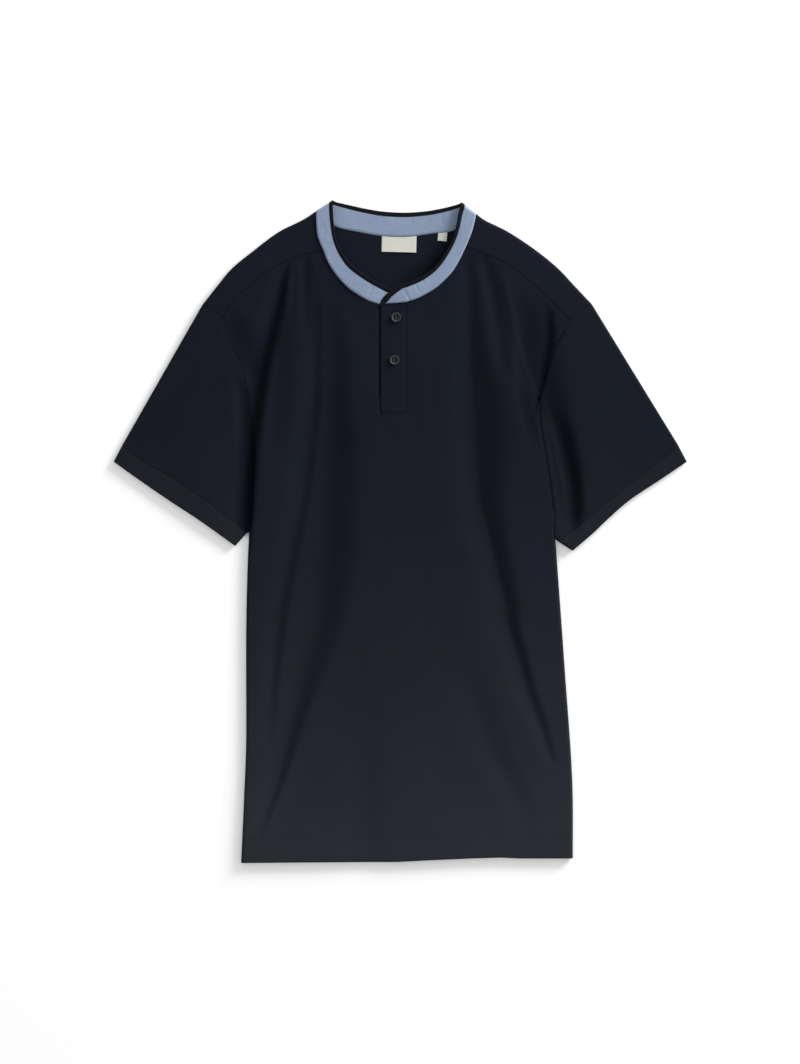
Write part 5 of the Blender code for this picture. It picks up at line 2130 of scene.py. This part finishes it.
def cut_grooves(lie: Lie, notch: Notch) -> None:
    """Lower the cloth along every seam, edge and stitch line, and paint shade along them and
    round the buttons.
    """
    for side in SIDES:
        arm = np.vstack([smooth_line(side.cap, 4), smooth_line(side.armhole, 4)[1:]])
        for line in (smooth_line(side.forward_seam, 4), smooth_line(side.neck_seam, 4),
                     smooth_line(side.shoulder_neck, 4)):
            lie.groove(line, Kind.SEAM)
        for line in (arm, smooth_line(side.cuff_seam, 4)):
            lie.groove(line, Kind.SOFT_SEAM)
        edge = smooth_line(side.body_edge, 4)
        lie.groove(edge[edge[:, 1] > side.underarm],
                   Kind.BODY_EDGE if side is LEFT else Kind.LIT_BODY_EDGE)
        lie.groove(smooth_line(side.cuff_edge, 4), Kind.CUT_EDGE)
    hem = np.array(HEM)
    lie.groove(hem, Kind.CUT_EDGE)
    lie.groove(hem + [0.0, lie.hem_width], Kind.STITCH_LINE)
    beside, low = notch.left - notch.open_offset, notch.bottom + notch.closed_below
    lie.groove(np.array([(beside, LEFT.neck_seam[-1][1]), (beside, low)]), Kind.FREE_EDGE)
    lie.groove(np.array([(beside, low), (beside + notch.close_lean, notch.bottom)]),
               Kind.FREE_END)
    foot = np.array([(notch.left, notch.bottom), (notch.right, notch.bottom)])
    lie.groove(foot, Kind.SEWN_EDGE)
    lie.groove(np.array([foot[1] + (0, notch.closed_start), RIGHT.neck_seam[-1]]),
               Kind.STRIP_EDGE)
    # Painted shadow in a ring round each button.
    turn = np.linspace(0, 2 * np.pi, 33)
    for x, y in BUTTON_PLACES.values():
        ring = np.array([x, y]) + np.column_stack([np.cos(turn), np.sin(turn)]) * SHADOW_RING_RADIUS
        lie.groove(ring, Kind.BUTTON_SHADOW)
    lie.groove(np.array(BRANCH_CREASE), Kind.CREASE)


def sew(lie: Lie, placket: Placket, threads: Sequence[Material]) -> None:
    """Lay the rows of stitches that show: hem, placket and back of the band.

    Args:
        lie: How the front lies.
        placket: The placket's upper strip.
        threads: The threads of the hem, of the placket and of the band.
    """
    rows = Stitching(lie)
    hem_thread, strip_thread, band_thread = threads
    hem = rows.on_top(rows.hem(lie.hem_width - rows.hem_inset))
    dress(cords("hem_stitches_thread", hem, rows.radius, rows.sides), hem_thread,
          "navy_jersey")
    strip = cords("placket_stitches_thread", rows.strip(placket), rows.radius, rows.sides)
    dress(strip, strip_thread, "navy_jersey")
    band = cords("band_stitches_thread", rows.band(), rows.radius, rows.sides)
    dress(band, band_thread, "chambray")


@dataclass(frozen=True)
class Cut:
    """The flat cut of what shows of one cloth piece, in metres."""

    width: float
    length: float
    area: float | None
    rests_on: tuple[str, ...]
    sewn_on: tuple[str, ...] = ()

    def declare(self, name: str) -> None:
        """Do nothing: the piece of this name is not told to the frame."""


FLOOR = ("studio_floor",)
CUTS: dict[str, Cut] = {
    "front_panel_cloth": Cut(0.450, 0.702, 0.264, ("back_panel_cloth",),
                             ("hem_stitches_thread",)),
    "back_panel_cloth": Cut(0.455, 0.780, 0.243, FLOOR),
    "sleeve_left_cloth": Cut(0.580, 0.135, 0.0443, FLOOR),
    "sleeve_right_cloth": Cut(0.580, 0.145, 0.0489, FLOOR),
    "cuff_left_cloth": Cut(0.360, 0.0225, 0.0077, FLOOR),
    "cuff_right_cloth": Cut(0.345, 0.0205, 0.0058, FLOOR),
    "collar_band_cloth": Cut(0.430, 0.0240, 0.0095,
                             ("front_panel_cloth", "back_panel_cloth"),
                             ("band_stitches_thread",)),
    "collar_tipping_cloth": Cut(0.450, 0.0105, 0.0042, ("collar_band_cloth",)),
    "placket_upper_cloth": Cut(0.0288, 0.125, None, ("placket_under_cloth",),
                               ("placket_stitches_thread", "buttonhole_top_thread",
                                "buttonhole_bottom_thread")),
    "placket_under_cloth": Cut(0.0288, 0.125, None, ("back_panel_cloth",)),
    "neck_label_satin": Cut(0.0395, 0.0178, None, ("back_panel_cloth",)),
    "size_label_satin": Cut(0.0104, 0.0102, None, ("back_panel_cloth",)),
}


def main() -> None:
    """Dress the whole shirt, piece by piece."""
    logging.basicConfig(level=logging.INFO, format="%(message)s")
    studio = Studio()
    studio.camera()
    studio.lights()
    studio.floor()
    lie, notch = Lie(), Notch()
    lie.add_folds(BODY_FOLDS)
    cut_grooves(lie, notch)
    sleeve_lie = lie.with_folds(SLEEVE_FOLDS)
    jersey, chambray = Jersey().material(), Chambray().material()
    worn_jersey = Jersey("worn_navy_jersey", (0.0064, 0.0074, 0.0112, 1),
                         (0.0116, 0.0130, 0.0178, 1)).material()
    twill, resin, satin = Twill().material(), Resin().material(), Satin().material()
    navy_thread = Thread("navy_thread", (0.013, 0.016, 0.025, 1)).material()
    strip_thread = Thread("strip_thread", (0.0095, 0.0118, 0.0185, 1)).material()
    dark_thread = Thread("button_thread", (0.0022, 0.0026, 0.0034, 1)).material()
    blue_thread = Thread("blue_thread", (0.36, 0.42, 0.52, 1)).material()

    body = Body(lie, notch)
    dress(shade_folds(body.front(), lie), jersey, "navy_jersey", "front_panel")
    back = NeckShade().lay(shade_folds(body.back(), lie))
    dress(back, jersey, "navy_jersey", "back_panel")
    for side in SIDES:
        arm = Sleeve(sleeve_lie, side)
        sleeve = shade_folds(arm.sleeve(), sleeve_lie)
        dress(sleeve, jersey, "navy_jersey", "sleeve_" + side.name)
        dress(arm.cuff(), worn_jersey, "navy_jersey", "cuff_" + side.name)
    collar = Collar(lie, notch)
    dress(collar.band(), chambray, "chambray", "collar_band")
    dress(collar.tipping_piece(), twill, "navy_tipping", "collar_tipping")
    placket = Placket(notch)
    dress(shade_folds(placket.upper(), lie), jersey, "navy_jersey", "placket_upper")
    dress(placket.under(), jersey, "navy_jersey", "placket_under")
    button, hole = Button(), Buttonhole()
    for name, place in BUTTON_PLACES.items():
        dress(button.shape("button_%s_resin" % name, place), resin, "button",
              "button_" + name)
        dress(button.thread("button_%s_thread" % name, place), dark_thread, "button")
        slit = (place[0] + hole.offset[0], place[1] + hole.offset[1])
        dress(hole.piece("buttonhole_%s_thread" % name, slit, placket), navy_thread,
              "navy_jersey")
    neck = Label(39.5, 16.8, (-1.1, 327.4), -1.5)
    dress(neck.piece("neck_label_satin"), satin, "label", "neck_label")
    size = Label(10.4, 7.4, (48.4, 335.4), -5.0, curl=0.3)
    dress(size.piece("size_label_satin"), satin, "label", "size_label")
    sew(lie, placket, (navy_thread, strip_thread, blue_thread))
    for name, cut in CUTS.items():
        cut.declare(name)


if __name__ == "__main__":
    main()
